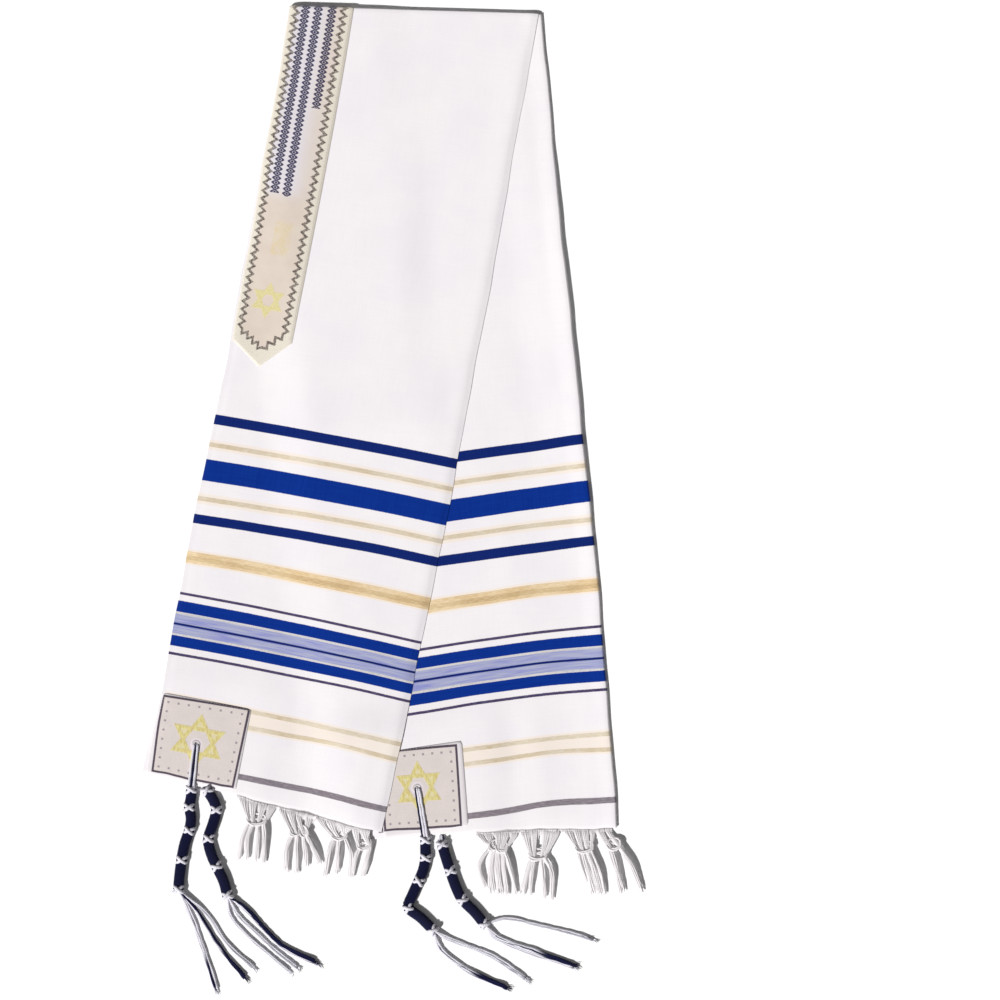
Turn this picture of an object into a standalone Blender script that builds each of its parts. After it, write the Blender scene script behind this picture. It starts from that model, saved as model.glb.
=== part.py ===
"""Tallit prayer shawl, folded and laid flat.

One woven strip is folded lengthwise (fold on the right), then folded across in the middle (fold at
the top), so that it lies as two leaves spread in a V: the front leaf on top, leaning to the left, and
the back leaf below it, leaning to the right.  Each leaf is a double thickness of cloth.

Units in the tables are millimetres.  X runs to the right, Y up the shawl, Z up from the surface, and
the origin is the middle of the base.  On a leaf, "along" is measured down the strip from the cross
fold and "across" from the middle of the leaf, to the right.
"""

import math

import bmesh
import bpy
import numpy as np

MM = 0.001

# --- driving dimensions ------------------------------------------------------------------------

LAYER = 1.2            # one thickness of cloth
SLIT = 0.3             # between the two layers of a leaf, at the open edge
LEAF = 2 * LAYER + SLIT
GAP = 0.3              # between separate pieces
LEAF_GAP = 0.5         # between the two leaves, which bend differently
FOLD_SWELL = 1.6       # how much a leaf stands up along its lengthwise fold
FOLD_SWELL_WIDTH = 22.0
SLIT_DEPTH = 8.0       # how far the two layers stand apart at the open edge
UNDER_EDGE = (0.8, 4.5)         # how far the under layer shows past the upper one, top and bottom
UNDER_EDGE_START = 560.0        # where it begins to widen
UNDER_EDGE_FULL = 760.0

APPLIQUE = 1.0         # neckband and corner patches
DRAPE_LEVEL = 20.0     # how far a layer stays level past the edge of what is under it
DRAPE_FADE = 60.0      # over which it then comes down
TUCK_LEVEL = 12.0      # the same over the thin pieces sewn to the underside
TUCK_FADE = 45.0

# The middle of the base is the origin; the tables' zero lies this far from it.
TABLE_ZERO = (1.4, 0.6)

# Cross fold: the axis around which the strip turns, from its left end to its right end.
FOLD_AXIS_LEFT = (-109.7, 514.0)
FOLD_AXIS_RIGHT = (153.8, 506.6)

# Sections down each leaf: the middle of the leaf, the turn of its crossways direction in degrees
# (right end up is positive), its width, and how far its two edges hang below its middle.
SECTION_COLUMNS = ("along", "x", "y", "turn", "width", "droop")
FRONT_SECTIONS = (
    (0, 20.8, 510.9, -10.2, 259.0, 0.0),
    (230, -20.0, 284.6, -10.1, 259.4, 0.6),
    (460, -61.8, 58.8, -10.1, 260.0, 1.2),
    (608, -91.6, -86.9, -10.9, 262.0, 1.6),
    (662, -102.1, -139.7, -11.4, 262.0, 1.6),
    (827, -133.0, -301.7, -11.8, 254.5, 1.2),
)
BACK_SECTIONS = (
    (0, 24.2, 512.9, 8.0, 259.0, 0.0),
    (230, 46.8, 277.7, 8.0, 259.0, 1.0),
    (460, 69.5, 42.5, 8.0, 259.0, 1.8),
    (608, 85.3, -107.8, 7.8, 258.0, 2.4),
    (662, 92.0, -163.0, 7.4, 257.0, 2.6),
    (827, 104.5, -332.3, 7.0, 255.0, 3.0),
)
HEM = {"front": (846.0, 4.5), "back": (845.0, 9.0)}     # cloth's end at mid width, rise to each side

# Neckband: sewn along the left edge, over the cross fold and on underneath.
BAND_INSET = 3.0       # from the cloth's edge
BAND_WIDTH = 64.0
BAND_LEFT_END = 373.0  # along the strip, at the band's left corner, point and right corner
BAND_POINT_END = 395.0
BAND_RIGHT_END = 367.0

# Corner patches, in the leaf's own places.
PATCH_COLUMNS = ("left", "right", "top", "bottom", "hole_across", "hole_along")
PATCHES = {
    "front": (-127.0, -31.5, 753.0, 840.5, -81.5, 800.5),
    "back": (-118.0, -28.0, 749.0, 836.0, -75.5, 790.0),
}
PATCH_CORNER = 2.0     # radius of a patch's corners
PATCH_RINGS = (0.0, 0.5, 1.0)   # between the hole and the patch's edge
HOLE_RADIUS = 3.0      # for the tassel's cord

# Fringe: knotted bunches that hang from a narrow strip past each layer's end.  A bunch gathers the
# threads between two places across the leaf into a knot, and its legs spread again below it.
STRIP_WIDTH = 3.0
STRIP_THICKNESS = 0.8
STRIP_STEP = 14.0      # between its sections
FLOOR_CLEAR = 0.3
KNOT_WIDTH = 7.0
KNOT_HEIGHT = 3.6
KNOT_LENGTH = 6.0
# Down to the knot: the share of the way from the root, and the bunch's width and height as shares
# of the knot's.
GATHER_STEPS = ((0.45, 0.75, 0.7), (0.85, 0.7, 0.8), (1.0, 1.0, 1.0))
# Through the knot: the share of its length, and again its width and height.
KNOT_STEPS = ((0.55, 0.95, 1.0), (1.0, 0.8, 0.8))
LEG_ROOT = (1.15, 0.8)          # half width and half height of a leg below its knot
LEG_TIP = (0.8, 0.65)
LEG_STAGGER = 3.0               # every second leg is this much shorter
LEG_STEPS = (0.3, 0.65, 1.0)
BUNCH_COLUMNS = ("root_left", "root_right", "knot_x", "knot_y", "tips_left", "tips_right", "tips_y")
FRINGES = {
    "fringe_front_upper": ("front", "upper", (
        (-27.0, 13.0, -143.6, -337.0, -162.0, -134.0, -384.5),
        (18.0, 33.0, -105.0, -351.0, -113.5, -101.5, -392.5),
        (57.0, 93.0, -58.5, -356.5, -73.5, -49.5, -396.5),
    )),
    "fringe_front_under": ("front", "under", (
        (36.0, 53.0, -91.5, -352.0, -94.5, -81.5, -389.0),
        (97.0, 114.0, -32.0, -365.0, -43.0, -32.0, -398.5),
    )),
    "fringe_back_upper": ("back", "upper", (
        (0.0, 22.0, 109.5, -367.5, 107.0, 129.5, -421.5),
        (27.0, 66.0, 147.0, -376.5, 134.0, 163.0, -421.5),
        (73.0, 104.0, 198.0, -366.0, 203.0, 221.0, -416.0),
    )),
    "fringe_back_under": ("back", "under", (
        (-20.0, -5.0, 97.0, -366.5, 90.0, 103.0, -413.5),
        (108.0, 121.0, 232.5, -363.0, 239.5, 261.0, -415.5),
    )),
}

# Tassels: a doubled cord, a wound head with knots, and eight loose strands.  An upper tassel's cord
# comes out of the patch's hole, and an under tassel's from below the hem at "hem_across".  "head" is
# the head's route with what is at each place; "fans" gives, for each group of strands, how many
# columns of two strands it takes, two places on its way, and its tips.
CORD = (2.3, 1.1)      # half width and half height of the doubled cord
CORD_START = 0.5       # of an under tassel's cord, past the hem
CORD_NARROW = 0.8      # its width where it goes through the hole, as a share
CORD_RISE = 5.5        # how far from the hole it lies flat on the patch
WOUND = (4.1, 3.8)
KNOT = (5.0, 4.4)
STRAND = 0.8           # half thickness of a strand
STRAND_PITCH = 2.0
STRAND_HEIGHTS = (1.2, 3.1)     # middles of the lower and the upper strands on the surface
STRAND_SETTLED = 0.33  # share of its length by which a strand lies beside its neighbours
STRAND_DOWN = 0.5      # share by which it has come down
TASSELS = {
    "tassel_front_upper": {
        "leaf": "front", "hem_across": None,
        "head": ((-213.5, -307.0, "knot"), (-213.5, -315.5, "wound"), (-215.5, -325.5, "knot"),
                 (-213.5, -337.5, "wound"), (-215.5, -350.0, "knot"), (-220.5, -365.0, "wound"),
                 (-223.5, -381.0, "knot"), (-225.5, -396.5, "wound"), (-227.0, -412.0, "knot")),
        "fans": ((2, (-214.5, -438.0), (-199.5, -479.0), (-187.5, -517.0)),
                 (1, (-205.5, -438.0), (-184.0, -473.0), (-155.5, -506.0)),
                 (1, (-198.0, -437.0), (-176.0, -468.0), (-147.5, -495.0))),
    },
    "tassel_front_under": {
        "leaf": "front", "hem_across": -62.0,
        "head": ((-190.5, -317.5, "wound"), (-187.0, -328.5, "knot"), (-190.5, -343.0, "wound"),
                 (-195.5, -358.5, "knot"), (-193.0, -373.0, "wound"), (-187.0, -387.5, "knot"),
                 (-179.5, -403.0, "wound"), (-175.5, -418.0, "knot")),
        "fans": ((1, (-171.5, -441.5), (-149.5, -465.0), (-110.5, -499.0)),
                 (1, (-163.0, -440.0), (-139.0, -463.5), (-99.5, -496.5)),
                 (2, (-152.5, -437.0), (-118.0, -472.0), (-80.0, -490.5))),
    },
    "tassel_back_upper": {
        "leaf": "back", "hem_across": None,
        "head": ((32.5, -360.0, "knot"), (32.5, -369.0, "wound"), (32.5, -378.5, "knot"),
                 (30.5, -390.5, "wound"), (25.5, -403.0, "knot"), (19.0, -417.5, "wound"),
                 (14.5, -431.0, "knot"), (27.5, -441.5, "wound"), (40.5, -454.5, "knot")),
        "fans": ((2, (49.5, -476.5), (80.0, -499.0), (121.0, -517.5)),
                 (2, (60.0, -465.5), (101.0, -481.5), (139.0, -507.0))),
    },
    "tassel_back_under": {
        "leaf": "back", "hem_across": -57.0,
        "head": ((50.0, -365.0, "knot"), (53.5, -377.0, "wound"), (58.5, -392.5, "knot"),
                 (64.5, -409.5, "wound"), (71.5, -423.0, "knot"), (84.5, -436.0, "wound"),
                 (94.5, -448.5, "knot")),
        "fans": ((3, (109.0, -464.0), (148.0, -479.0), (189.0, -493.5)),
                 (1, (121.0, -440.0), (159.0, -450.0), (209.0, -465.0))),
    },
}

# --- mesh density ------------------------------------------------------------------------------

BAND_CELLS = 6         # across the neckband, on the leaf and on the band alike
REST_CELLS = 10        # across the rest of a leaf
LEAF_ROWS = {"front": 38, "back": 30}
BAND_ROWS = {"front": 18, "back": 6}
FOLD_ROWS = 5          # around the cross fold
EDGE_STEPS = 4         # around a lengthwise fold
PATCH_SEGMENTS = 28
STRAND_STEPS = 3       # between two places of a strand's route


# --- small helpers -----------------------------------------------------------------------------

def ease(value):
    """Soft step from 0 to 1."""
    value = min(max(value, 0.0), 1.0)
    return value * value * (3 - 2 * value)


def mix(first, second, share):
    return first + (second - first) * share


def plateau(value, low, high, level, fade):
    """1 between low and high and a little past them, then a soft fall to 0."""
    outside = max(low - value, value - high, 0.0)
    return 1 - ease((outside - level) / fade)


def smooth_route(points, steps):
    """A smooth curve through a few points, with the given number of steps between each two."""
    points = [np.array(point, float) for point in points]
    padded = [2 * points[0] - points[1]] + points + [2 * points[-1] - points[-2]]
    route = []
    for index in range(1, len(padded) - 2):
        before, start, end, after = padded[index - 1:index + 3]
        for step in range(steps):
            t = step / steps
            route.append(0.5 * (2 * start + (end - before) * t
                                + (2 * before - 5 * start + 4 * end - after) * t ** 2
                                + (3 * start - before - 3 * end + after) * t ** 3))
    route.append(points[-1])
    return route


# --- places on a leaf --------------------------------------------------------------------------

def fit_sections(sections):
    """A cubic for each column of a section table, as a function of the place along the leaf."""
    table = np.array(sections, float)
    along = table[:, 0]
    return {name: np.polyfit(along, table[:, column], 3)
            for column, name in enumerate(SECTION_COLUMNS) if column}


SHAPES = {"front": fit_sections(FRONT_SECTIONS), "back": fit_sections(BACK_SECTIONS)}


def section(leaf, along):
    return {name: float(np.polyval(curve, along)) for name, curve in SHAPES[leaf].items()}


def half_width(leaf, along):
    return section(leaf, along)["width"] / 2


def directions(leaf, along):
    """The leaf's crossways direction, to the right, and its lengthways direction, down the strip."""
    turn = math.radians(section(leaf, along)["turn"])
    return (np.array((math.cos(turn), math.sin(turn))),
            np.array((math.sin(turn), -math.cos(turn))))


def place(leaf, along, across):
    """X and Y of a place on a leaf."""
    shape = section(leaf, along)
    right, down = directions(leaf, along)
    droop = shape["droop"] * (across / (shape["width"] / 2)) ** 2
    return np.array((shape["x"], shape["y"])) + across * right + droop * down


def find_place(leaf, x, y):
    """Along and across of the place on a leaf that is at X and Y."""
    along, across = 500.0 - y, 0.0
    for _ in range(6):
        error = np.array((x, y)) - place(leaf, along, across)
        right, down = directions(leaf, along)
        along += float(error @ down)
        across += float(error @ right)
    return along, across


FOLD_START = np.array(FOLD_AXIS_LEFT)
FOLD_DIRECTION = np.array(FOLD_AXIS_RIGHT) - FOLD_START
FOLD_DIRECTION /= np.linalg.norm(FOLD_DIRECTION)
FOLD_OUTWARD = np.array((-FOLD_DIRECTION[1], FOLD_DIRECTION[0]))


def fold_along(leaf, across):
    """Where a lengthwise line of the leaf reaches the cross fold."""
    along = 0.0
    for _ in range(5):
        beyond = float((place(leaf, along, across) - FOLD_START) @ FOLD_OUTWARD)
        along += beyond / float(directions(leaf, along)[1] @ -FOLD_OUTWARD)
    return along


def hem_along(leaf, across):
    middle, rise = HEM[leaf]
    return middle + rise * across / half_width(leaf, middle)


# --- heights -----------------------------------------------------------------------------------

def swell(leaf, along, across):
    """How much a leaf stands up towards its lengthwise fold."""
    start = half_width(leaf, along) - FOLD_SWELL_WIDTH
    return FOLD_SWELL * ease((across - start) / FOLD_SWELL_WIDTH)


def patch_sizes(leaf):
    return dict(zip(PATCH_COLUMNS, PATCHES[leaf]))


def patch_rise(leaf, along, across):
    """The room that a corner patch takes below a layer."""
    patch = patch_sizes(leaf)
    share = (plateau(across, patch["left"], patch["right"], TUCK_LEVEL, TUCK_FADE)
             * plateau(along, patch["top"], patch["bottom"], TUCK_LEVEL, TUCK_FADE))
    return (APPLIQUE + GAP) * share


def band_rise(along, across):
    """The room that the hidden half of the neckband takes below the back leaf."""
    left = -half_width("back", along)
    share = (plateau(across, left, left + BAND_INSET + BAND_WIDTH, TUCK_LEVEL, TUCK_FADE)
             * plateau(along, -100.0, BAND_POINT_END, TUCK_LEVEL, TUCK_FADE))
    return (APPLIQUE + GAP) * share


def back_bottom(along, across):
    return max(patch_rise("back", along, across), band_rise(along, across))


def back_top(along, across):
    return back_bottom(along, across) + LEAF + swell("back", along, across)


def front_bottom(along, across):
    """The front leaf rests on the back leaf, and comes down to the surface to the left of it."""
    x, y = place("front", along, across)
    back_along, back_across = find_place("back", x, y)
    half = half_width("back", back_along)
    carried = min(max(back_across, -half), half)
    level = (back_top(back_along, carried) + LEAF_GAP
             + patch_rise("back", back_along, back_across))
    share = 1 - ease((-half - back_across - DRAPE_LEVEL) / DRAPE_FADE)
    return max(level * share, patch_rise("front", along, across))


def leaf_bottom(leaf, along, across):
    return back_bottom(along, across) if leaf == "back" else front_bottom(along, across)


def leaf_top(leaf, along, across):
    return leaf_bottom(leaf, along, across) + LEAF + swell(leaf, along, across)


# --- making objects ----------------------------------------------------------------------------

COLOURS = {             # base colour, roughness
    "white_cloth": ((0.90, 0.88, 0.89, 1), 0.85),
    "cream_applique": ((0.76, 0.70, 0.62, 1), 0.70),
    "white_fringe": ((0.87, 0.85, 0.86, 1), 0.90),
    "navy_white_cord": ((0.06, 0.08, 0.22, 1), 0.80),
}


def material(name):
    found = bpy.data.materials.get(name)
    if found:
        return found
    colour, roughness = COLOURS[name]
    made = bpy.data.materials.new(name)
    made.use_nodes = True
    made.diffuse_color = colour
    shader = made.node_tree.nodes["Principled BSDF"]
    shader.inputs["Base Color"].default_value = colour
    shader.inputs["Roughness"].default_value = roughness
    shader.inputs["Metallic"].default_value = 0.0
    return made


def add_point(bm, point):
    return bm.verts.new([float(value) * MM for value in point])


def bridge(bm, first, second):
    """Faces between two closed rings of as many vertices."""
    for index in range(len(first)):
        after = (index + 1) % len(first)
        bm.faces.new((first[index], first[after], second[after], second[index]))


def finish_object(name, bm, material_name, smooth_angle=40):
    loose = [vertex for vertex in bm.verts if not vertex.link_faces]
    bmesh.ops.delete(bm, geom=loose, context="VERTS")
    bmesh.ops.recalc_face_normals(bm, faces=bm.faces)
    bmesh.ops.triangulate(bm, faces=[face for face in bm.faces if len(face.verts) > 4])
    mesh = bpy.data.meshes.new(name)
    bm.to_mesh(mesh)
    bm.free()
    mesh.shade_smooth()
    mesh.set_sharp_from_angle(angle=math.radians(smooth_angle))
    mesh.materials.append(material(material_name))
    made = bpy.data.objects.new(name, mesh)
    made.location = (TABLE_ZERO[0] * MM, TABLE_ZERO[1] * MM, 0)
    bpy.context.scene.collection.objects.link(made)
    return made


def loft(name, rings, material_name):
    """One closed body through a row of closed rings of points."""
    bm = bmesh.new()
    made = [[add_point(bm, point) for point in ring] for ring in rings]
    for first, second in zip(made, made[1:]):
        bridge(bm, first, second)
    bm.faces.new(made[0])
    bm.faces.new(made[-1])
    return finish_object(name, bm, material_name)


# --- the two leaves ----------------------------------------------------------------------------

def leaf_columns(half):
    """Places across a leaf: fine over the neckband, and its last one where the fold starts to turn."""
    band_left = -half + BAND_INSET
    band_right = band_left + BAND_WIDTH
    fold_start = half - (LEAF + FOLD_SWELL) / 2
    columns = [-half]
    columns += [mix(band_left, band_right, cell / BAND_CELLS) for cell in range(BAND_CELLS + 1)]
    columns += [mix(band_right, fold_start, cell / REST_CELLS) for cell in range(1, REST_CELLS + 1)]
    return columns


def under_edge(along):
    share = ease((along - UNDER_EDGE_START) / (UNDER_EDGE_FULL - UNDER_EDGE_START))
    return mix(UNDER_EDGE[0], UNDER_EDGE[1], share)


def leaf_ring(leaf, row, start_gap):
    """One section of a leaf as (along, across, height) places: its upper side from left to right,
    round the lengthwise fold, its under side from right to left, and the slit at the open edge."""
    half = half_width(leaf, row * HEM[leaf][0])

    def along_at(across):
        start = fold_along(leaf, across) + start_gap
        return mix(start, hem_along(leaf, across), row)

    def bottom(across):
        return leaf_bottom(leaf, along_at(across), across)

    columns = leaf_columns(half)
    ring = [(along_at(a), a, bottom(a) + LEAF + swell(leaf, along_at(a), a)) for a in columns]
    radius = (ring[-1][2] - bottom(columns[-1])) / 2
    middle = ring[-1][2] - radius
    for step in range(1, EDGE_STEPS):
        angle = math.pi * step / EDGE_STEPS
        across = columns[-1] + radius * math.sin(angle)
        ring.append((along_at(across), across, middle + radius * math.cos(angle)))
    ring += [(along_at(a), a, bottom(a)) for a in reversed(columns)]
    outer = columns[0] - under_edge(along_at(columns[0]))
    ring[-1] = (along_at(outer), outer, bottom(columns[0]))
    inner = columns[0] + SLIT_DEPTH
    ring.append((along_at(outer), outer, bottom(columns[0]) + LAYER))
    ring.append((along_at(inner), inner, bottom(inner) + LAYER))
    ring.append((along_at(inner), inner, bottom(inner) + LAYER + SLIT))
    ring.append((along_at(columns[0]), columns[0], bottom(columns[0]) + LAYER + SLIT))
    return ring


def world_ring(leaf, ring):
    return [(*place(leaf, along, across), height) for along, across, height in ring]


def fold_frame(x, y):
    """At the cross fold: the height around which the strip turns, and the outer radius above and
    below it."""
    back_place = find_place("back", x, y)
    front_place = find_place("front", x, y)
    limit = half_width("back", 0.0)
    back_across = min(max(back_place[1], -limit), limit)
    centre = back_top(back_place[0], back_across) + LEAF_GAP / 2
    above = leaf_top("front", *front_place) - centre
    below = centre - back_bottom(back_place[0], back_across)
    return centre, above, below


def turn_over(point, angle):
    """Carry a point of the front leaf's first section round the cross fold."""
    x, y, z = point
    centre, above, below = fold_frame(x, y)
    radius = z - centre
    share = angle / math.pi
    inner = LEAF_GAP / 2
    if radius > inner:
        inside = min(radius, above)
        proud = radius - inside
        turned = mix(above, below, share)
        radius = inner + (inside - inner) * (turned - inner) / (above - inner) + proud
    outward = FOLD_OUTWARD * radius * math.sin(angle)
    return (x + outward[0], y + outward[1], centre + radius * math.cos(angle))


def make_front_leaf():
    """The front leaf and the cross fold, down to its seam with the back leaf."""
    first = world_ring("front", leaf_ring("front", 0.0, 0.0))
    rings = [[turn_over(point, math.pi * step / FOLD_ROWS) for point in first]
             for step in range(FOLD_ROWS, 0, -1)]
    for row in range(LEAF_ROWS["front"] + 1):
        rings.append(world_ring("front", leaf_ring("front", row / LEAF_ROWS["front"], 0.0)))
    loft("cloth_front_leaf", rings, "white_cloth")


def make_back_leaf():
    rings = [world_ring("back", leaf_ring("back", row / LEAF_ROWS["back"], GAP))
             for row in range(LEAF_ROWS["back"] + 1)]
    loft("cloth_back_leaf", rings, "white_cloth")


# --- neckband ----------------------------------------------------------------------------------

def band_end(share):
    """Where the band ends along the strip: a point between its left and right corners."""
    if share < 0.5:
        return mix(BAND_LEFT_END, BAND_POINT_END, share * 2)
    return mix(BAND_POINT_END, BAND_RIGHT_END, share * 2 - 1)


def band_row(leaf, row, start_gap):
    """Places across the band at one row, as (along, across)."""
    places = []
    for cell in range(BAND_CELLS + 1):
        share = cell / BAND_CELLS
        across = -half_width(leaf, row * BAND_POINT_END) + BAND_INSET + BAND_WIDTH * share
        start = fold_along(leaf, across) + start_gap
        places.append((mix(start, band_end(share), row), across))
    return places


def band_ring(leaf, row, start_gap, heights):
    """The band's section: its far side from left to right, then its near side back again."""
    places = band_row(leaf, row, start_gap)
    far = [(*place(leaf, *spot), heights(*spot)[1]) for spot in places]
    near = [(*place(leaf, *spot), heights(*spot)[0]) for spot in reversed(places)]
    return far + near


def above_front(along, across):
    base = leaf_top("front", along, across) + GAP
    return base, base + APPLIQUE


def below_back(_along, _across):
    return 0.0, APPLIQUE


def make_neckband():
    """The half that shows, which also turns over the cross fold, and the half underneath."""
    first = band_ring("front", 0.0, 0.0, above_front)
    rings = [[turn_over(point, math.pi * step / FOLD_ROWS) for point in first]
             for step in range(FOLD_ROWS, 0, -1)]
    rows = BAND_ROWS["front"]
    rings += [band_ring("front", row / rows, 0.0, above_front) for row in range(rows + 1)]
    loft("neckband_front", rings, "cream_applique")
    rows = BAND_ROWS["back"]
    rings = [band_ring("back", row / rows, GAP, below_back) for row in range(rows + 1)]
    loft("neckband_back", rings, "cream_applique")


# --- corner patches ----------------------------------------------------------------------------

def patch_outline(leaf):
    """The patch's rounded rectangle, starting at the middle of its right side."""
    patch = patch_sizes(leaf)
    low = np.array((patch["left"], patch["top"]))
    high = np.array((patch["right"], patch["bottom"]))
    centre = (low + high) / 2
    half = (high - low) / 2
    outline = []
    for index in range(PATCH_SEGMENTS):
        angle = 2 * math.pi * (index + 0.5) / PATCH_SEGMENTS
        ray = np.array((math.cos(angle), math.sin(angle)))
        reach = min(half[0] / max(abs(ray[0]), 1e-9), half[1] / max(abs(ray[1]), 1e-9))
        point = ray * reach
        corner = half - PATCH_CORNER
        excess = np.abs(point) - corner
        if excess.min() > 0:
            point = np.sign(point) * (corner + excess / np.linalg.norm(excess) * PATCH_CORNER)
        outline.append(centre + point)
    return outline


def hole_outline(leaf):
    patch = patch_sizes(leaf)
    centre = np.array((patch["hole_across"], patch["hole_along"]))
    return [centre + HOLE_RADIUS * np.array((math.cos(angle), math.sin(angle)))
            for angle in (2 * math.pi * (index + 0.5) / PATCH_SEGMENTS
                          for index in range(PATCH_SEGMENTS))]


def make_upper_patch(name, leaf):
    """A patch on top of a leaf, with a hole through it for the tassel's cord."""
    outer, inner = patch_outline(leaf), hole_outline(leaf)
    bm = bmesh.new()
    rings = []
    for thickness, order in ((GAP, PATCH_RINGS), (GAP + APPLIQUE, PATCH_RINGS[::-1])):
        for share in order:
            ring = []
            for hole_point, edge_point in zip(inner, outer):
                across, along = mix(hole_point, edge_point, share)
                height = leaf_top(leaf, along, across) + thickness
                ring.append(add_point(bm, (*place(leaf, along, across), height)))
            rings.append(ring)
    for first, second in zip(rings, rings[1:] + rings[:1]):
        bridge(bm, first, second)
    finish_object(name, bm, "cream_applique")


def make_under_patch(name, leaf):
    """A patch on the underside, flat on the surface that the shawl lies on."""
    outline = [place(leaf, along, across) for across, along in patch_outline(leaf)]
    loft(name, [[(*point, 0.0) for point in outline], [(*point, APPLIQUE) for point in outline]],
         "cream_applique")


# --- strands and knots -------------------------------------------------------------------------

def grid_corner(column, columns, row, rows, half_sizes):
    """A corner of a block of cells, drawn in to an oval."""
    a = 2 * column / columns - 1
    b = 2 * row / rows - 1
    return (half_sizes[0] * a * math.sqrt(1 - b * b / 2), half_sizes[1] * b * math.sqrt(1 - a * a / 2))


def block_level(bm, columns, rows, point_at):
    return [[add_point(bm, point_at(column, row)) for row in range(rows + 1)]
            for column in range(columns + 1)]


def rim(level):
    """The outer vertices of a block of cells, in order."""
    columns, rows = len(level) - 1, len(level[0]) - 1
    return ([level[column][0] for column in range(columns)]
            + [level[columns][row] for row in range(rows)]
            + [level[column][rows] for column in range(columns, 0, -1)]
            + [level[0][row] for row in range(rows, 0, -1)])


def cell_ring(level, column, row):
    return [level[column][row], level[column + 1][row], level[column + 1][row + 1],
            level[column][row + 1]]


def section_point(centre, side, half_sizes, column, columns, row, rows):
    offset = grid_corner(column, columns, row, rows, half_sizes)
    return (centre[0] + side[0] * offset[0], centre[1] + side[1] * offset[0], centre[2] + offset[1])


def square_ring(bm, centre, side, half, height):
    """Four corners of a strand's section: low left, low right, high right, high left."""
    return [add_point(bm, (centre[0] + side[0] * x, centre[1] + side[1] * x, centre[2] + z))
            for x, z in ((-half, -height), (half, -height), (half, height), (-half, height))]


# --- fringe ------------------------------------------------------------------------------------

BUNCH_CELLS = (3, 2)   # legs of a bunch: across and up


def bunch_levels(bm, leaf, bunch, heights):
    """A bunch from its roots to the underside of its knot; returns its levels of vertices."""
    columns, rows = BUNCH_CELLS
    knot = np.array((bunch["knot_x"], bunch["knot_y"]))
    knot_middle = FLOOR_CLEAR + KNOT_HEIGHT / 2
    right, _ = directions(leaf, HEM[leaf][0])

    def root(column, row):
        across = mix(bunch["root_left"], bunch["root_right"], column / columns)
        along = hem_along(leaf, across) + GAP + STRIP_WIDTH
        low, high = heights(across)
        return (*place(leaf, along, across), mix(low, high, row / rows))

    middle = np.array(root(columns / 2, 0)[:2])
    way = (knot - middle) / np.linalg.norm(knot - middle)

    def knot_point(past, wide, high, column, row):
        sizes = (KNOT_WIDTH * wide / 2, KNOT_HEIGHT * high / 2)
        return section_point((*(knot + way * past), knot_middle), right, sizes,
                             column, columns, row, rows)

    def gathered(share, wide, high):
        return lambda column, row: tuple(
            mix(first, last, share)
            for first, last in zip(root(column, row), knot_point(0.0, wide, high, column, row)))

    def in_knot(share, wide, high):
        return lambda column, row: knot_point(KNOT_LENGTH * share, wide, high, column, row)

    shapes = ([root] + [gathered(*step) for step in GATHER_STEPS]
              + [in_knot(*step) for step in KNOT_STEPS])
    return [block_level(bm, columns, rows, shape) for shape in shapes]


def middle_of(ring):
    return sum((np.array(vertex.co) for vertex in ring), np.zeros(3)) / len(ring) / MM


def make_bunch(bm, leaf, bunch, heights):
    """Returns the bunch's first level, which the strip is built on to."""
    columns, rows = BUNCH_CELLS
    levels = bunch_levels(bm, leaf, bunch, heights)
    for first, second in zip(levels, levels[1:]):
        bridge(bm, rim(first), rim(second))
    side = directions(leaf, HEM[leaf][0])[0]
    tip_height = FLOOR_CLEAR + LEG_TIP[1]
    for column in range(columns):
        for row in range(rows):
            leg = rows * column + row
            tip = np.array((mix(bunch["tips_left"], bunch["tips_right"], leg / (columns * rows - 1)),
                            bunch["tips_y"] + LEG_STAGGER * (leg % 2)))
            last = cell_ring(levels[-1], column, row)
            root = middle_of(last)
            for share in LEG_STEPS:
                centre = (*mix(root[:2], tip, share), mix(root[2], tip_height, ease(share)))
                ring = square_ring(bm, centre, side, mix(LEG_ROOT[0], LEG_TIP[0], share),
                                   mix(LEG_ROOT[1], LEG_TIP[1], share))
                bridge(bm, last, ring)
                last = ring
            bm.faces.new(last)
    return levels[0]


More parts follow.
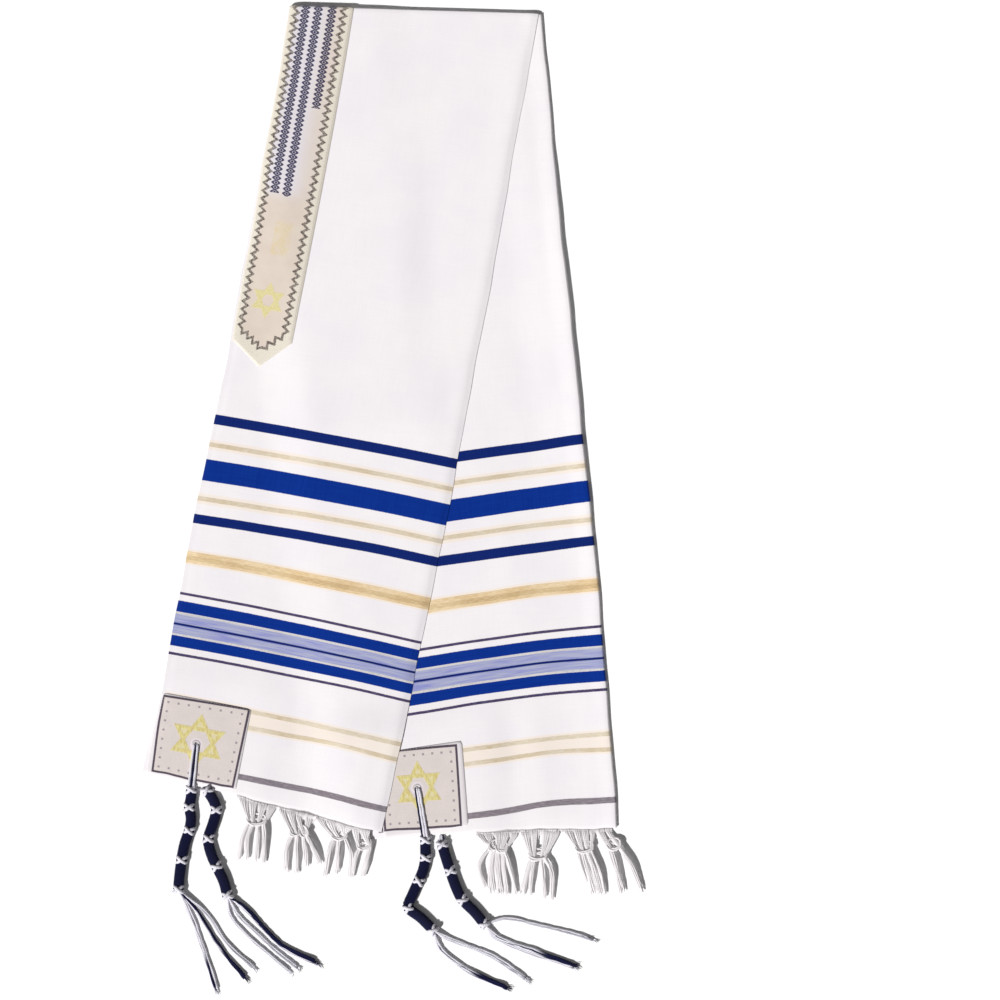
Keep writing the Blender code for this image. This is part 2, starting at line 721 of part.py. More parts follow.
def make_fringe(name):
    """A narrow strip past the end of one layer, with the bunches that hang from it."""
    leaf, layer, bunches = FRINGES[name]
    bm = bmesh.new()
    lift = LAYER + SLIT if layer == "upper" else FLOOR_CLEAR
    rows = BUNCH_CELLS[1]

    def heights(across):
        low = leaf_bottom(leaf, hem_along(leaf, across), across) + lift
        return low, low + STRIP_THICKNESS

    def edge_point(across, past, share):
        low, high = heights(across)
        return (*place(leaf, hem_along(leaf, across) + GAP + past, across), mix(low, high, share))

    sections = []              # across, its outer vertices from low to high, and if a bunch follows
    for bunch in (dict(zip(BUNCH_COLUMNS, row)) for row in bunches):
        if sections:
            last = sections[-1][0]
            count = max(math.ceil((bunch["root_left"] - last) / STRIP_STEP), 1)
            for step in range(1, count):
                across = mix(last, bunch["root_left"], step / count)
                outer = [add_point(bm, edge_point(across, STRIP_WIDTH, row / rows))
                         for row in range(rows + 1)]
                sections.append((across, outer, False))
        level = make_bunch(bm, leaf, bunch, heights)
        for column, outer in enumerate(level):
            across = mix(bunch["root_left"], bunch["root_right"], column / BUNCH_CELLS[0])
            sections.append((across, outer, column < BUNCH_CELLS[0]))
    inner = [[add_point(bm, edge_point(across, 0.0, share)) for share in (0, 1)]
             for across, _, _ in sections]
    for index in range(len(sections) - 1):
        here, after = sections[index][1], sections[index + 1][1]
        low_here, high_here = inner[index]
        low_after, high_after = inner[index + 1]
        bm.faces.new((here[0], after[0], low_after, low_here))
        bm.faces.new((here[-1], after[-1], high_after, high_here))
        bm.faces.new((low_here, low_after, high_after, high_here))
        if not sections[index][2]:
            for row in range(rows):
                bm.faces.new((here[row], after[row], after[row + 1], here[row + 1]))
    for index in (0, -1):
        bm.faces.new((*sections[index][1], inner[index][1], inner[index][0]))
    finish_object(name, bm, "white_fringe")


# --- tassels -----------------------------------------------------------------------------------

HEAD_CELLS = (4, 2)    # eight strands: across and up
HEAD_SIZES = {"wound": WOUND, "knot": KNOT}
HEAD_REACH = {"wound": 3.6, "knot": 2.0}


def cord_stations(tassel):
    """The doubled cord from the patch's hole, or from below the hem, to the head."""
    leaf = tassel["leaf"]
    first = np.array(tassel["head"][0][:2])
    across = tassel["hem_across"]
    if across is not None:
        edge = place(leaf, hem_along(leaf, across) + CORD_START, across)
        return [(*edge, FLOOR_CLEAR + CORD[1], *CORD)]
    patch = patch_sizes(leaf)
    hole_across, hole_along = patch["hole_across"], patch["hole_along"]
    surface = leaf_top(leaf, hole_along, hole_across)
    hole = place(leaf, hole_along, hole_across)
    on_patch = surface + GAP + APPLIQUE + GAP + CORD[1]
    way = (first - hole) / np.linalg.norm(first - hole)
    edge = place(leaf, hem_along(leaf, hole_across), hole_across)
    edge = hole + way * (float((edge - hole) @ way) + 2 * GAP)
    narrow = (CORD[0] * CORD_NARROW, CORD[1] * CORD_NARROW)
    return [(*(hole - way * narrow[1]), surface + GAP + APPLIQUE / 2, narrow[0], APPLIQUE / 4),
            (*hole, on_patch, *narrow),
            (*(hole + way * CORD_RISE), on_patch, *CORD),
            (*edge, on_patch, *CORD)]


def head_stations(tassel):
    """Places down a tassel's cord and head, as (x, y, z, half width, half height)."""
    stations = cord_stations(tassel)
    places = tassel["head"]
    height = FLOOR_CLEAR + KNOT[1]
    for index, (x, y, kind) in enumerate(places):
        here = np.array((x, y))
        towards = np.array(places[min(index + 1, len(places) - 1)][:2])
        away = np.array(places[max(index - 1, 0)][:2])
        way = (towards - away) / np.linalg.norm(towards - away)
        for step in (-1, 1):
            stations.append((*(here + way * HEAD_REACH[kind] * step), height, *HEAD_SIZES[kind]))
    return stations


def make_tassel(name):
    tassel = TASSELS[name]
    columns, rows = HEAD_CELLS
    bm = bmesh.new()
    stations = head_stations(tassel)
    levels = []
    for index, (x, y, z, half_wide, half_high) in enumerate(stations):
        before = np.array(stations[max(index - 1, 0)][:2])
        after = np.array(stations[min(index + 1, len(stations) - 1)][:2])
        way = (after - before) / np.linalg.norm(after - before)
        side = np.array((way[1], -way[0]))
        if index == 0 and tassel["hem_across"] is not None:
            side = -directions(tassel["leaf"], HEM[tassel["leaf"]][0])[0]
        levels.append(block_level(bm, columns, rows, lambda column, row: section_point(
            (x, y, z), side, (half_wide, half_high), column, columns, row, rows)))
    for first, second in zip(levels, levels[1:]):
        bridge(bm, rim(first), rim(second))
    bm.faces.new(rim(levels[0]))
    end = np.array(stations[-1][:2])
    column = 0
    for count, near, far, tip in reversed(tassel["fans"]):
        route = smooth_route((end, near, far, tip), STRAND_STEPS)
        for lane in range(count):
            for row in range(rows):
                last = cell_ring(levels[-1], column, row)
                root = middle_of(last)
                offset = (lane - (count - 1) / 2) * STRAND_PITCH
                for index in range(1, len(route)):
                    before = route[index - 1]
                    after = route[min(index + 1, len(route) - 1)]
                    way = (after - before) / np.linalg.norm(after - before)
                    across = np.array((way[1], -way[0]))
                    share = index / (len(route) - 1)
                    settled = ease(share / STRAND_SETTLED)
                    sideways = mix(root[:2] - end, across * offset, settled)
                    centre = route[index] + sideways
                    height = mix(root[2], STRAND_HEIGHTS[row], ease(share / STRAND_DOWN))
                    ring = square_ring(bm, (*centre, height), across, STRAND, STRAND)
                    bridge(bm, last, ring)
                    last = ring
                bm.faces.new(last)
            column += 1
    finish_object(name, bm, "navy_white_cord")


# --- the shawl ---------------------------------------------------------------------------------

def clear_scene():
    for thing in list(bpy.data.objects):
        bpy.data.objects.remove(thing, do_unlink=True)


def main():
    clear_scene()
    make_front_leaf()
    make_back_leaf()
    make_neckband()
    for leaf in ("front", "back"):
        make_upper_patch(f"corner_{leaf}_upper", leaf)
        make_under_patch(f"corner_{leaf}_under", leaf)
    for name in FRINGES:
        make_fringe(name)
    for name in TASSELS:
        make_tassel(name)


main()
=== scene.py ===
"""Looks for the folded tallit prayer shawl.

Sizes are in millimetres on the strip of cloth and turned into metres at the end.  On a leaf, "along" is
measured down the strip from the cross fold and "across" from the middle of the leaf, to the right.
"""

import math

import bmesh
import bpy
import numpy as np
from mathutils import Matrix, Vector


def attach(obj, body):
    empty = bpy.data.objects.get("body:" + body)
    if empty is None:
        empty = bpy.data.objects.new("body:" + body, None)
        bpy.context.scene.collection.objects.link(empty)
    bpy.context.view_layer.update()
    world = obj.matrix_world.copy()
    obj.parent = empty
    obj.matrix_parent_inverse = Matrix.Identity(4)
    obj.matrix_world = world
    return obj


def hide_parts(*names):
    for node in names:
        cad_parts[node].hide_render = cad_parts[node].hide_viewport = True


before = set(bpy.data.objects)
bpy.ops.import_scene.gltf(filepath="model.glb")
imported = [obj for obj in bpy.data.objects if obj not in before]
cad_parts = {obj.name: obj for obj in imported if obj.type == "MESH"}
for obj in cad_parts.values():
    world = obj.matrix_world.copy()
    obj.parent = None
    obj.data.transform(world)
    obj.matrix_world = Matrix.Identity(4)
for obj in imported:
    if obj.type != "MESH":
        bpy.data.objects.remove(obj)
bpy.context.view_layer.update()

MM = 0.001
TABLE_ZERO = (1.4, 0.6)         # the tables' zero, from the middle of the base

# --- sizes shared with the solids ---

LAYER = 1.2
SLIT = 0.3
LEAF = 2 * LAYER + SLIT
GAP = 0.3
LEAF_GAP = 0.5
FOLD_SWELL = 1.6
FOLD_SWELL_WIDTH = 22.0
APPLIQUE = 1.0
DRAPE_LEVEL = 20.0
DRAPE_FADE = 60.0
TUCK_LEVEL = 12.0
TUCK_FADE = 45.0
FOLD_AXIS = ((-109.7, 514.0), (153.8, 506.6))
PAST_FOLD = -100.0              # along, beyond the cross fold

# Sections of a leaf: along, X and Y of its middle, turn in degrees, width and droop of its sides.
SECTIONS = {
    "front": (
        (0, 20.8, 510.9, -10.2, 259, 0),
        (230, -20, 284.6, -10.1, 259.4, 0.6),
        (460, -61.8, 58.8, -10.1, 260, 1.2),
        (608, -91.6, -86.9, -10.9, 262, 1.6),
        (662, -102.1, -139.7, -11.4, 262, 1.6),
        (827, -133, -301.7, -11.8, 254.5, 1.2),
    ),
    "back": (
        (0, 24.2, 512.9, 8, 259, 0),
        (230, 46.8, 277.7, 8, 259, 1),
        (460, 69.5, 42.5, 8, 259, 1.8),
        (608, 85.3, -107.8, 7.8, 258, 2.4),
        (662, 92, -163, 7.4, 257, 2.6),
        (827, 104.5, -332.3, 7, 255, 3),
    ),
}
HEM = {"front": (846.0, 4.5), "back": (845.0, 9.0)}

BAND_INSETS = (0.4, 2.5)        # from the open edge: at the fold, and from halfway to the point
BAND_RIGHT = 67.0
BAND_WIDTH = 66.0
BAND_LEFT_END = 373.0
BAND_POINT_END = 397.0
BAND_RIGHT_END = 367.0
BAND_POINT_SHARE = 0.5385       # of the width, to the point

# A patch's first and last corner and its hole, as (across, along).
PATCHES = {
    "front": ((-127.0, 753.0), (-31.5, 840.5), (-81.5, 800.5)),
    "back": ((-118.0, 749.0), (-28.0, 836.0), (-79.0, 790.7)),
}
HOLE_RADIUS = 2.5
# Corners of a patch's woven line, as (across, along): it isn't quite square.
LINE_CORNERS = {
    "front": ((-126.3, 756.2), (-33.8, 753.7), (-35.4, 837.6), (-120.9, 836.9)),
    "back": ((-114.8, 748.2), (-34.6, 752.8), (-35.8, 835.0), (-116.0, 828.2)),
}
LINE_SIZES = {"front": (90.0, 83.6), "back": (80.0, 80.0)}

STRIP_THICKNESS = 0.8
FLOOR_CLEAR = 0.3
# Each bunch is a few locks, groups of threads from the hem to their tips: root's two ends across the
# leaf, X and Y of the knot, the middle and the tip, and width.
FRINGES = {
    "fringe_front_upper": (
        ((-27, -16, -153, -341, -160.5, -362, -164, -384.5, 4.7),
         (-16, -7, -149, -342.5, -155, -362, -154.5, -383, 5.2),
         (-5, 4, -143, -343.5, -144, -363.5, -145.5, -385.5, 5.2),
         (5, 13, -137, -342.5, -136.5, -363.5, -138.5, -386.5, 5.8)),
        ((17, 25, -108, -353, -113.5, -373, -113, -397, 6.3),
         (25, 34, -102, -354, -103, -374, -103, -398, 5.8)),
        ((56, 67, -64, -357, -69.5, -377, -73.5, -401, 6.3),
         (68, 79, -59, -358, -59, -378, -61, -398, 5.8),
         (82, 93, -51.5, -357, -45.5, -375, -47, -403, 6.3)),
    ),
    "fringe_front_under": (
        ((34, 41, -95.5, -354, -93, -373, -92.5, -391.5, 6.3),
         (45, 54, -92.5, -353, -84.5, -369.5, -77, -388.5, 6.3)),
        ((96, 104, -37, -367.5, -41.5, -380, -45, -402, 5.2),
         (105, 115, -26, -366.5, -29.5, -383, -34.5, -402, 6.3)),
    ),
    "fringe_back_upper": (
        ((-1, 7, 108.5, -369.5, 108.5, -391.5, 111.5, -421, 7.4),
         (7, 14, 113, -369.5, 115.5, -392.5, 118.5, -422, 6.3),
         (16, 23, 116, -370.5, 122, -391.5, 128.5, -420, 4.2)),
        ((26, 36, 143.5, -379, 138.5, -396, 133.5, -421, 5.8),
         (36, 44, 146.5, -381, 143, -402, 143, -420, 4.7),
         (49, 57, 154, -381, 156.5, -402, 158, -424, 4.2),
         (57, 67, 158, -378, 165, -395, 165, -426.5, 5.2)),
        ((72, 81, 192, -370.5, 198, -391.5, 204, -410.5, 4.2),
         (82, 90, 198, -373, 203.5, -394, 210, -420, 6.8),
         (90, 97, 203, -373, 210, -394, 217, -422, 6.8),
         (99, 104, 206.5, -370.5, 216.5, -396, 222, -420, 3.2)),
    ),
    "fringe_back_under": (
        ((-21, -13, 100.5, -367.5, 89, -387.5, 99, -416, 4.7),
         (-12, -3, 104.5, -369.5, 101, -391.5, 103.5, -419, 7.4)),
        ((107, 114, 226, -368.5, 232.5, -389.5, 240, -419, 8.4),
         (115, 122, 236, -366.5, 249, -387.5, 262, -418, 6.3)),
    ),
}

# A head is knotted at its first place and at every second one after it.  A fan's last column gives
# each lane's lower and upper strand: w white, n navy, g grey, e white with a navy end.
TASSELS = {
    # The thin navy strand in the middle of each front cord ("wnw") is painted shade: a dark strand laid where
    # shade falls between its two white strands.
    "tassel_front_upper": {
        "hem_across": None, "cord": "wnw",
        "head": ((-213.5, -307), (-213.5, -315.5), (-215.5, -325.5), (-213.5, -337.5), (-215.5, -350),
                 (-220.5, -365), (-223.5, -381), (-225.5, -396.5), (-227, -412)),
        "fans": (((-214.5, -438), (-199.5, -479), (-187.5, -517), ("we", "ww")),
                 ((-205.5, -438), (-184, -473), (-155.5, -506), ("en",)),
                 ((-198, -437), (-176, -468), (-147.5, -495), ("gw",))),
    },
    "tassel_front_under": {
        "hem_across": -62, "cord": "wnw",
        "head": ((-197, -308), (-190.5, -317.5), (-187, -328.5), (-190.5, -343), (-195.5, -358.5),
                 (-193, -373), (-187, -387.5), (-179.5, -403), (-175.5, -418)),
        "fans": (((-171.5, -441.5), (-149.5, -465), (-110.5, -499), ("ww",)),
                 ((-163, -440), (-139, -463.5), (-99.5, -496.5), ("gw",)),
                 ((-152.5, -437), (-118, -472), (-80, -490.5), ("ww", "nn"))),
    },
    "tassel_back_upper": {
        "hem_across": None, "cord": "nww",
        "head": ((32.5, -360), (32.5, -369), (32.5, -378.5), (30.5, -390.5), (25.5, -403), (19, -417.5),
                 (14.5, -431), (27.5, -441.5), (40.5, -454.5)),
        "fans": (((49.5, -476.5), (80, -499), (121, -517.5), ("we", "ne")),
                 ((60, -465.5), (101, -481.5), (139, -507), ("ww", "gw"))),
    },
    "tassel_back_under": {
        "hem_across": -57, "cord": "wwn",
        "head": ((50, -365), (53.5, -377), (58.5, -392.5), (64.5, -409.5), (71.5, -423), (84.5, -436),
                 (94.5, -448.5)),
        "fans": (((109, -464), (148, -479), (189, -493.5), ("ww", "we", "ne")),
                 ((118, -443), (159, -451), (209, -465), ("gw",))),
    },
}

# --- sizes of the looks ---

SHEET = 0.5            # thickness of the cloth
EDGE_DIP = 0.75        # how far the upper layer comes down at the open edge
EDGE_DIP_WIDTH = 10.0
HEM_DIP = 0.4
HEM_DIP_WIDTH = 12.0
FLATTENED = 0.5        # thickness of the front leaf at its lengthwise fold, which lies pressed flat
FLATTENED_WIDTH = 13.0
NOSES = {"front": 0.8, "back": 2.15}        # how far in a lengthwise fold starts to turn down
CROSS_FOLD_REACH = 0.45                     # share of its round that the cross fold stands out
SETTLING = 0.7         # how far the front leaf's fold sinks on to the back leaf
SETTLING_WIDTH = 25.0
OVERHANG = (-0.6, 4.6)                      # of the under layer's edge, before and at the corner
OVERHANG_START = 772.0
OVERHANG_FULL = 838.0

UPPER_CELLS = 66       # across a leaf's upper or under layer
ROUND_CELLS = 10       # round its lengthwise fold
LEAF_CELLS = 200       # down a leaf
CROSS_CELLS = 14       # round the cross fold

# Soft creases of the upper layers: along and across of both ends, half width and height.
CREASES = {
    "front": (
        (60, 20, 300, 34, 16, 0.45),
        (150, 70, 420, 58, 22, -0.40),
        (250, -20, 470, -34, 24, 0.40),
        (330, 96, 560, 88, 14, 0.35),
        (40, 96, 190, 90, 15, -0.35),
        (470, -84, 640, -92, 18, 0.45),
        (520, 18, 700, 10, 26, -0.35),
        (600, 66, 810, 74, 17, 0.45),
        (710, 4, 840, -4, 13, 0.40),
        (725, 38, 845, 42, 11, -0.35),
        (640, -40, 750, -20, 20, 0.35),
        (735, 92, 846, 96, 9, 0.40),
    ),
    "back": (
        (40, 104, 260, 98, 12, 0.30),
        (300, 70, 470, 84, 18, -0.30),
        (430, 20, 640, 40, 20, 0.35),
        (560, 92, 760, 86, 16, -0.30),
        (640, -10, 800, 6, 17, 0.40),
        (730, 52, 845, 48, 12, 0.40),
        (740, 22, 845, 20, 11, -0.35),
        (700, 104, 845, 108, 9, 0.35),
    ),
}
# How the long edges wander: wave length, reach and phase of each wave.
EDGE_WAVES = {
    ("front", "left"): ((310, 0.55, 0.4), (127, 0.35, 2.1), (61, 0.18, 5.0)),
    ("front", "right"): ((260, 0.5, 1.7), (109, 0.35, 4.0), (53, 0.15, 0.8)),
    ("back", "left"): ((280, 0.5, 3.0), (117, 0.3, 0.5), (57, 0.15, 2.2)),
    ("back", "right"): ((240, 0.5, 5.1), (101, 0.35, 1.2), (49, 0.15, 3.6)),
}
EDGE_WAVE_WIDTH = 40.0
# How far the front leaf's open edge lies to the right, at places along it.
EDGE_SHIFTS = ((0, 0), (340, 0.2), (415, 2.7), (500, 2.2), (620, 1.2), (700, 1.0), (735, 1.6), (790, 0.6),
               (846, 0.3))
HEM_WAVES = ((83, 0.55, 1.0), (37, 0.3, 3.3), (17, 0.15, 0.2))
HEM_WAVE_WIDTH = 30.0

# Place along, and how far up the stripes lie there from their even places, at five places from the
# open edge to the lengthwise fold.
DRIFTS = {
    "front": (
        (400, 0, 0, 0, 0, 0),
        (461, 2.2, 2.1, 1.8, 1.9, 1.8),
        (489, 3.2, 3.3, 3.8, 3.7, 3),
        (515, 2.6, 3.3, 2.6, 2.8, 2.2),
        (544, 0.2, 0.8, 2.8, 3.4, 2.8),
        (566, 0.4, 1.6, 2.6, 3.6, 3.2),
        (609, 2.4, 3.3, 2.2, 2.2, 1.9),
        (650, 3.5, 3.1, 2.3, 1.6, 1),
        (681, 2.3, 2, 1.8, 1.6, 0.8),
        (713, 2.6, 2.9, 2.5, 3.2, 2.3),
        (758, 2.4, 2.4, 2, 1.8, 1.8),
        (774, 0.5, 0.5, 1.5, 3.6, 1.5),
        (827, 1.5, 1.5, 2.6, 3.2, 1.6),
    ),
    "back": (
        (400, 0, 0, 0, 0, 0),
        (461, 1.5, 1.5, 0.8, 1, 3),
        (489, 2, 2, 2.8, 3.2, 3.8),
        (515, 1, 1, 1.2, 2.5, 4.4),
        (544, 2.8, 2.8, 3.4, 3.9, 3.4),
        (566, 2.5, 2.5, 2.2, 2.7, 4.1),
        (609, 1, 1, 1.6, 3.1, 2.3),
        (650, -1, -1, -0.3, 0.4, 0.2),
        (681, -1, -1, -0.3, 0.7, -0.5),
        (713, -1.5, -1.5, 0, 0.5, -0.4),
        (758, -1.3, -1.3, -1, -0.1, -0.3),
        (774, 0.7, 0.7, 0.6, 2.6, 0),
        (827, 0.3, 0.3, 1, 4.2, 2.2),
    ),
}
PUFF = (2.6, 110, 250, 430, 620)        # extra height of the back leaf's lengthwise fold, and where
PUFF_WIDTH = 60.0

BAND_CELLS = 26
BAND_ROWS = 130
BAND_EDGE_DROP = 0.8
BAND_EDGE_WIDTH = 2.4
FACE = 0.9             # share of a sewn piece's thickness that its shown part has
PATCH_CELLS_AROUND = 112
PATCH_CELLS_OUT = 26
UNDER_PATCH_CELLS = 40
PATCH_CORNER = 2.0
SEAM = 1e-6            # metres between points that are one

THREAD = 0.95          # radius of a fringe thread
THREAD_PITCH = 1.35    # between two threads of a lock
LOCK_HEIGHT = 5.4      # of a lock's middle where it hangs freely
TIP_HEIGHT = 2.7
STUB_PITCH = 0.85
STUB_MARGINS = {"upper": (3, 6), "under": (0, 0)}
LOOP_REACH = 2.0       # of a bunch's knot past its outer locks

CORD_RADII = {"w": 1.35, "n": 0.85}
WOUND_WIDE = 5.2
WOUND_HIGH = 3.2
WINDING = 0.62         # radius of the wound thread
WINDING_PITCH = 1.25
HEAD_MIDDLE = 3.8      # height of a head's middle
KNOT_WIDE = 4.5
KNOT_HIGH = 3.5
KNOT_THREAD = 1.8
STRAND = 1.1
STRAND_PITCH = 2.0
STRAND_HEIGHTS = (1.3, 1.45)
ROW_RISE = 1.6         # between the lower and upper strands of a fan where they leave the head
ROW_SHIFT = 1.5
FIBRE = 0.3
# Share of navy at a strand's start and end.
SHADES = {"w": (0.03, 0.03), "n": (1.0, 1.0), "g": (0.3, 0.45), "e": (0.05, 1.0)}

STITCH_PITCH = 3.1
STITCH_STEPS = 6       # points from one stitch to the next
STITCH_RISE = (-0.12, 0.12, 0.18, 0.12, -0.12)
STITCH_THREAD = 0.13
BAND_STITCH_INSET = 2.4
BAND_STITCH_ROWS = (0.03, 0.991)                # first and last, as shares of the band
EYELET_REACH = (-0.25, 0.1, 0.9, 1.8, 2.2)      # of an eyelet's stitch from the hole's rim
EYELET_RISE = (-0.7, 0.15, 0.3, 0.2, -0.1)

# --- colours and patterns, in screen values and metres ---

ROOM_LIGHT = 1.1       # how bright a white face looks in the room
# Yarns of the woven stripes: what mixes their two colours.
YARNS = {
    "thin_blue": ("dye", (8, 32, 104), (16, 44, 118)),
    "blue": ("dye", (0, 43, 136), (8, 56, 150)),
    "gold": ("metal", (211, 193, 163), (231, 221, 204)),
    "wide_gold": ("metal", (224, 194, 148), (247, 226, 191)),
    "deep_gold": ("metal", (204, 174, 130), (236, 212, 170)),
    "violet": ("streak", (176, 180, 205), (138, 141, 205)),
    "cream": ("tone", (245, 233, 223), (247, 236, 227)),
    "pale": ("yarn", (222, 219, 214), (196, 193, 196)),
    "dark": ("fleck", (66, 56, 92), (92, 84, 116)),
    "hem": ("fleck", (128, 119, 128), (152, 144, 150)),
}
# Woven stripes: their middle and width along the strip, in millimetres, and their yarn.
STRIPES = (
    (461.0, 10.6, "thin_blue"),
    (489.0, 11.0, "cream"),
    (489.0, 4.8, "gold"),
    (515.5, 22.0, "blue"),
    (544.0, 11.0, "cream"),
    (544.0, 4.8, "gold"),
    (566.0, 10.0, "thin_blue"),
    (609.0, 17.0, "cream"),
    (609.3, 12.6, "wide_gold"),
    (610.2, 5.0, "deep_gold"),
    (649.5, 2.8, "dark"),
    (663.0, 11.4, "blue"),
    (681.0, 22.6, "violet"),
    (670.0, 1.9, "pale"),
    (692.0, 1.9, "pale"),
    (681.0, 2.4, "thin_blue"),
    (699.0, 11.4, "blue"),
    (713.0, 2.9, "dark"),
    (766.0, 25.0, "cream"),
    (758.0, 4.6, "gold"),
    (774.0, 4.6, "gold"),
    (827.4, 6.4, "hem"),
)
ZIGZAG_INSETS = (0.0074, 0.0098)     # from the band's left and right edges
ZIGZAG_PERIOD = 0.0084
ZIGZAG_REACH = 0.0028
ZIGZAG_LINE = 0.0044
# Ornament columns: their middle across the band and how far down they reach, in millimetres.
ORNAMENT_COLUMNS = ((17.0, 214.0), (30.0, 216.0), (44.4, 120.0))
BRAID_PERIOD = 0.0098
BRAID_REACH = 0.0034
PATCH_LINE_WIDTH = 0.0025
DOT_INSET = 0.0060
DOT_STEPS = 7
DOT_SIZE = 0.0024
# Patch stars: middle as (across, along) in millimetres, radius, and how much they are narrowed.
STARS = {"front": ((-80.5, 797.0), 25.8, 0.93), "back": ((-77.2, 790.2), 23.6, 1.03)}
# Twisted yarns: name, pale colour, its painted shade for the grooves between the plies, and dark colour.
TWISTED_YARNS = (
    ("white_fringe_yarn", (245, 241, 243), (212, 207, 210), (20, 26, 66)),
    ("navy_white_tassel_cord", (240, 237, 244), (178, 176, 192), (12, 15, 48)),
    ("sewing_thread", (236, 231, 230), (206, 200, 200), (40, 40, 60)),
)

FLOOR_LEVEL = -0.0002
VIEW_MIDDLE = (0.1122, -0.0026, 0.003)
VIEW_WIDTH = 1.05
CAMERA_HEIGHT = 3.4
KEY_SIDE = (-0.70, -0.71)
KEY_RISE = 44.0        # degrees over the floor
KEY_POWER = 4.4
KEY_SPREAD = 4.0       # degrees
ROOM_GLOW = 0.14
FLOOR_COLOUR = (0.94, 0.94, 0.94, 1)


# --- small helpers ---

def ease(value):
    value = np.clip(value, 0.0, 1.0)
    return value * value * (3 - 2 * value)


def mix(first, second, share):
    return first + (second - first) * share


def plateau(value, low, high):
    outside = np.maximum(np.maximum(low - value, value - high), 0.0)
    return 1 - ease((outside - TUCK_LEVEL) / TUCK_FADE)


def waves(value, table):
    return sum(reach * np.sin(2 * math.pi * value / length + phase) for length, reach, phase in table)


def between(value, table):
    """A smooth way from one row (place, amounts) of a table to the next."""
    table = np.array(table, float)
    places, amounts = table[:, 0], table[:, 1:]
    index = np.clip(np.searchsorted(places, value) - 1, 0, len(places) - 2)
    share = ease((value - places[index]) / (places[index + 1] - places[index]))
    return mix(amounts[index], amounts[index + 1], share[..., None])


def unit(vectors):
    return vectors / np.linalg.norm(vectors, axis=-1, keepdims=True)


def beside(way):
    """The level way to the right of another one."""
    return np.stack((way[..., 1], -way[..., 0]), -1)


def ray(angle):
    return np.stack((np.cos(angle), np.sin(angle)), -1)


def run_of(route):
    return np.concatenate(([0.0], np.cumsum(np.linalg.norm(np.diff(route, axis=0), axis=1))))


def resample(route, step):
    run = run_of(route)
    places = np.linspace(0, run[-1], max(int(run[-1] / step), 2) + 1)
    return np.column_stack([np.interp(places, run, route[:, axis]) for axis in range(3)])


def shares_of(route):
    return np.arange(len(route)) / (len(route) - 1)


def smooth_route(points, steps):
    """A smooth curve through a few points, with the given number of steps between each two."""
    points = np.asarray(points, float)
    padded = np.vstack((2 * points[:1] - points[1:2], points, 2 * points[-1:] - points[-2:-1]))
    t = (np.arange(steps) / steps)[:, None]
    route = []
    for before, start, end, after in zip(padded, padded[1:], padded[2:], padded[3:]):
        route.append(0.5 * (2 * start + (end - before) * t
                            + (2 * before - 5 * start + 4 * end - after) * t ** 2
                            + (3 * start - before - 3 * end + after) * t ** 3))
    return np.vstack(route + [points[-1:]])


def offset_route(route, side):
    """A route beside another one, this far to its right at each of its points."""
    moved = route.copy()
    moved[:, :2] += unit(beside(unit(np.gradient(route, axis=0)))) * np.asarray(side)[..., None]
    return moved


def set_all(thing, **settings):
    for name, value in settings.items():
        setattr(thing, name, value)
    return thing


# --- places on a leaf ---

def fit_sections(rows):
    along, *columns = np.array(rows, float).T
    return [np.polyfit(along, column, 3) for column in columns]


SHAPES = {leaf: fit_sections(rows) for leaf, rows in SECTIONS.items()}


def section(leaf, along):
    """X, Y, turn, width and droop of a leaf at places along it."""
    return [np.polyval(curve, along) for curve in SHAPES[leaf]]


def half_width(leaf, along):
    return section(leaf, along)[3] / 2


def directions(leaf, along):
    """The ways to the right across a leaf and down along it."""
    right = ray(np.radians(section(leaf, along)[2]))
    return right, beside(right)


def place(leaf, along, across):
    """X and Y of places on a leaf, as the solids have them."""
    along, across = np.broadcast_arrays(np.asarray(along, float), np.asarray(across, float))
    x, y, _, width, droop = section(leaf, along)
    right, down = directions(leaf, along)
    droop = droop * (across / (width / 2)) ** 2
    return np.stack((x, y), -1) + across[..., None] * right + droop[..., None] * down


def drift(leaf, along, across):
    """How far up the strip its stripes are shifted at places on a leaf."""
    shifts = between(along, DRIFTS[leaf])
    half = half_width(leaf, along)
    column = np.clip((across + half) / (2 * half), 0, 1) * (shifts.shape[-1] - 1)
    left = np.minimum(column.astype(int), shifts.shape[-1] - 2)
    low, high = (np.take_along_axis(shifts, side[..., None], -1)[..., 0] for side in (left, left + 1))
    return mix(low, high, ease(column - left))


def find_place(leaf, spots):
    """Along and across of the places on a leaf at the given X and Y."""
    along = 500.0 - spots[..., 1]
    across = np.zeros_like(along)
    for _ in range(6):
        error = spots - place(leaf, along, across)
        right, down = directions(leaf, along)
        along = along + (error * down).sum(-1)
        across = across + (error * right).sum(-1)
    return along, across


FOLD_START, FOLD_END = np.array(FOLD_AXIS)
FOLD_OUTWARD = -beside(unit(FOLD_END - FOLD_START))


def fold_along(leaf, across):
    """Where lengthwise lines of the leaf reach the cross fold."""
    along = np.zeros_like(np.asarray(across, float))
    for _ in range(5):
        beyond = (place(leaf, along, across) - FOLD_START) @ FOLD_OUTWARD
        along = along + beyond / (directions(leaf, along)[1] @ -FOLD_OUTWARD)
    return along


def hem_along(leaf, across):
    middle, rise = HEM[leaf]
    return middle + rise * across / half_width(leaf, middle)


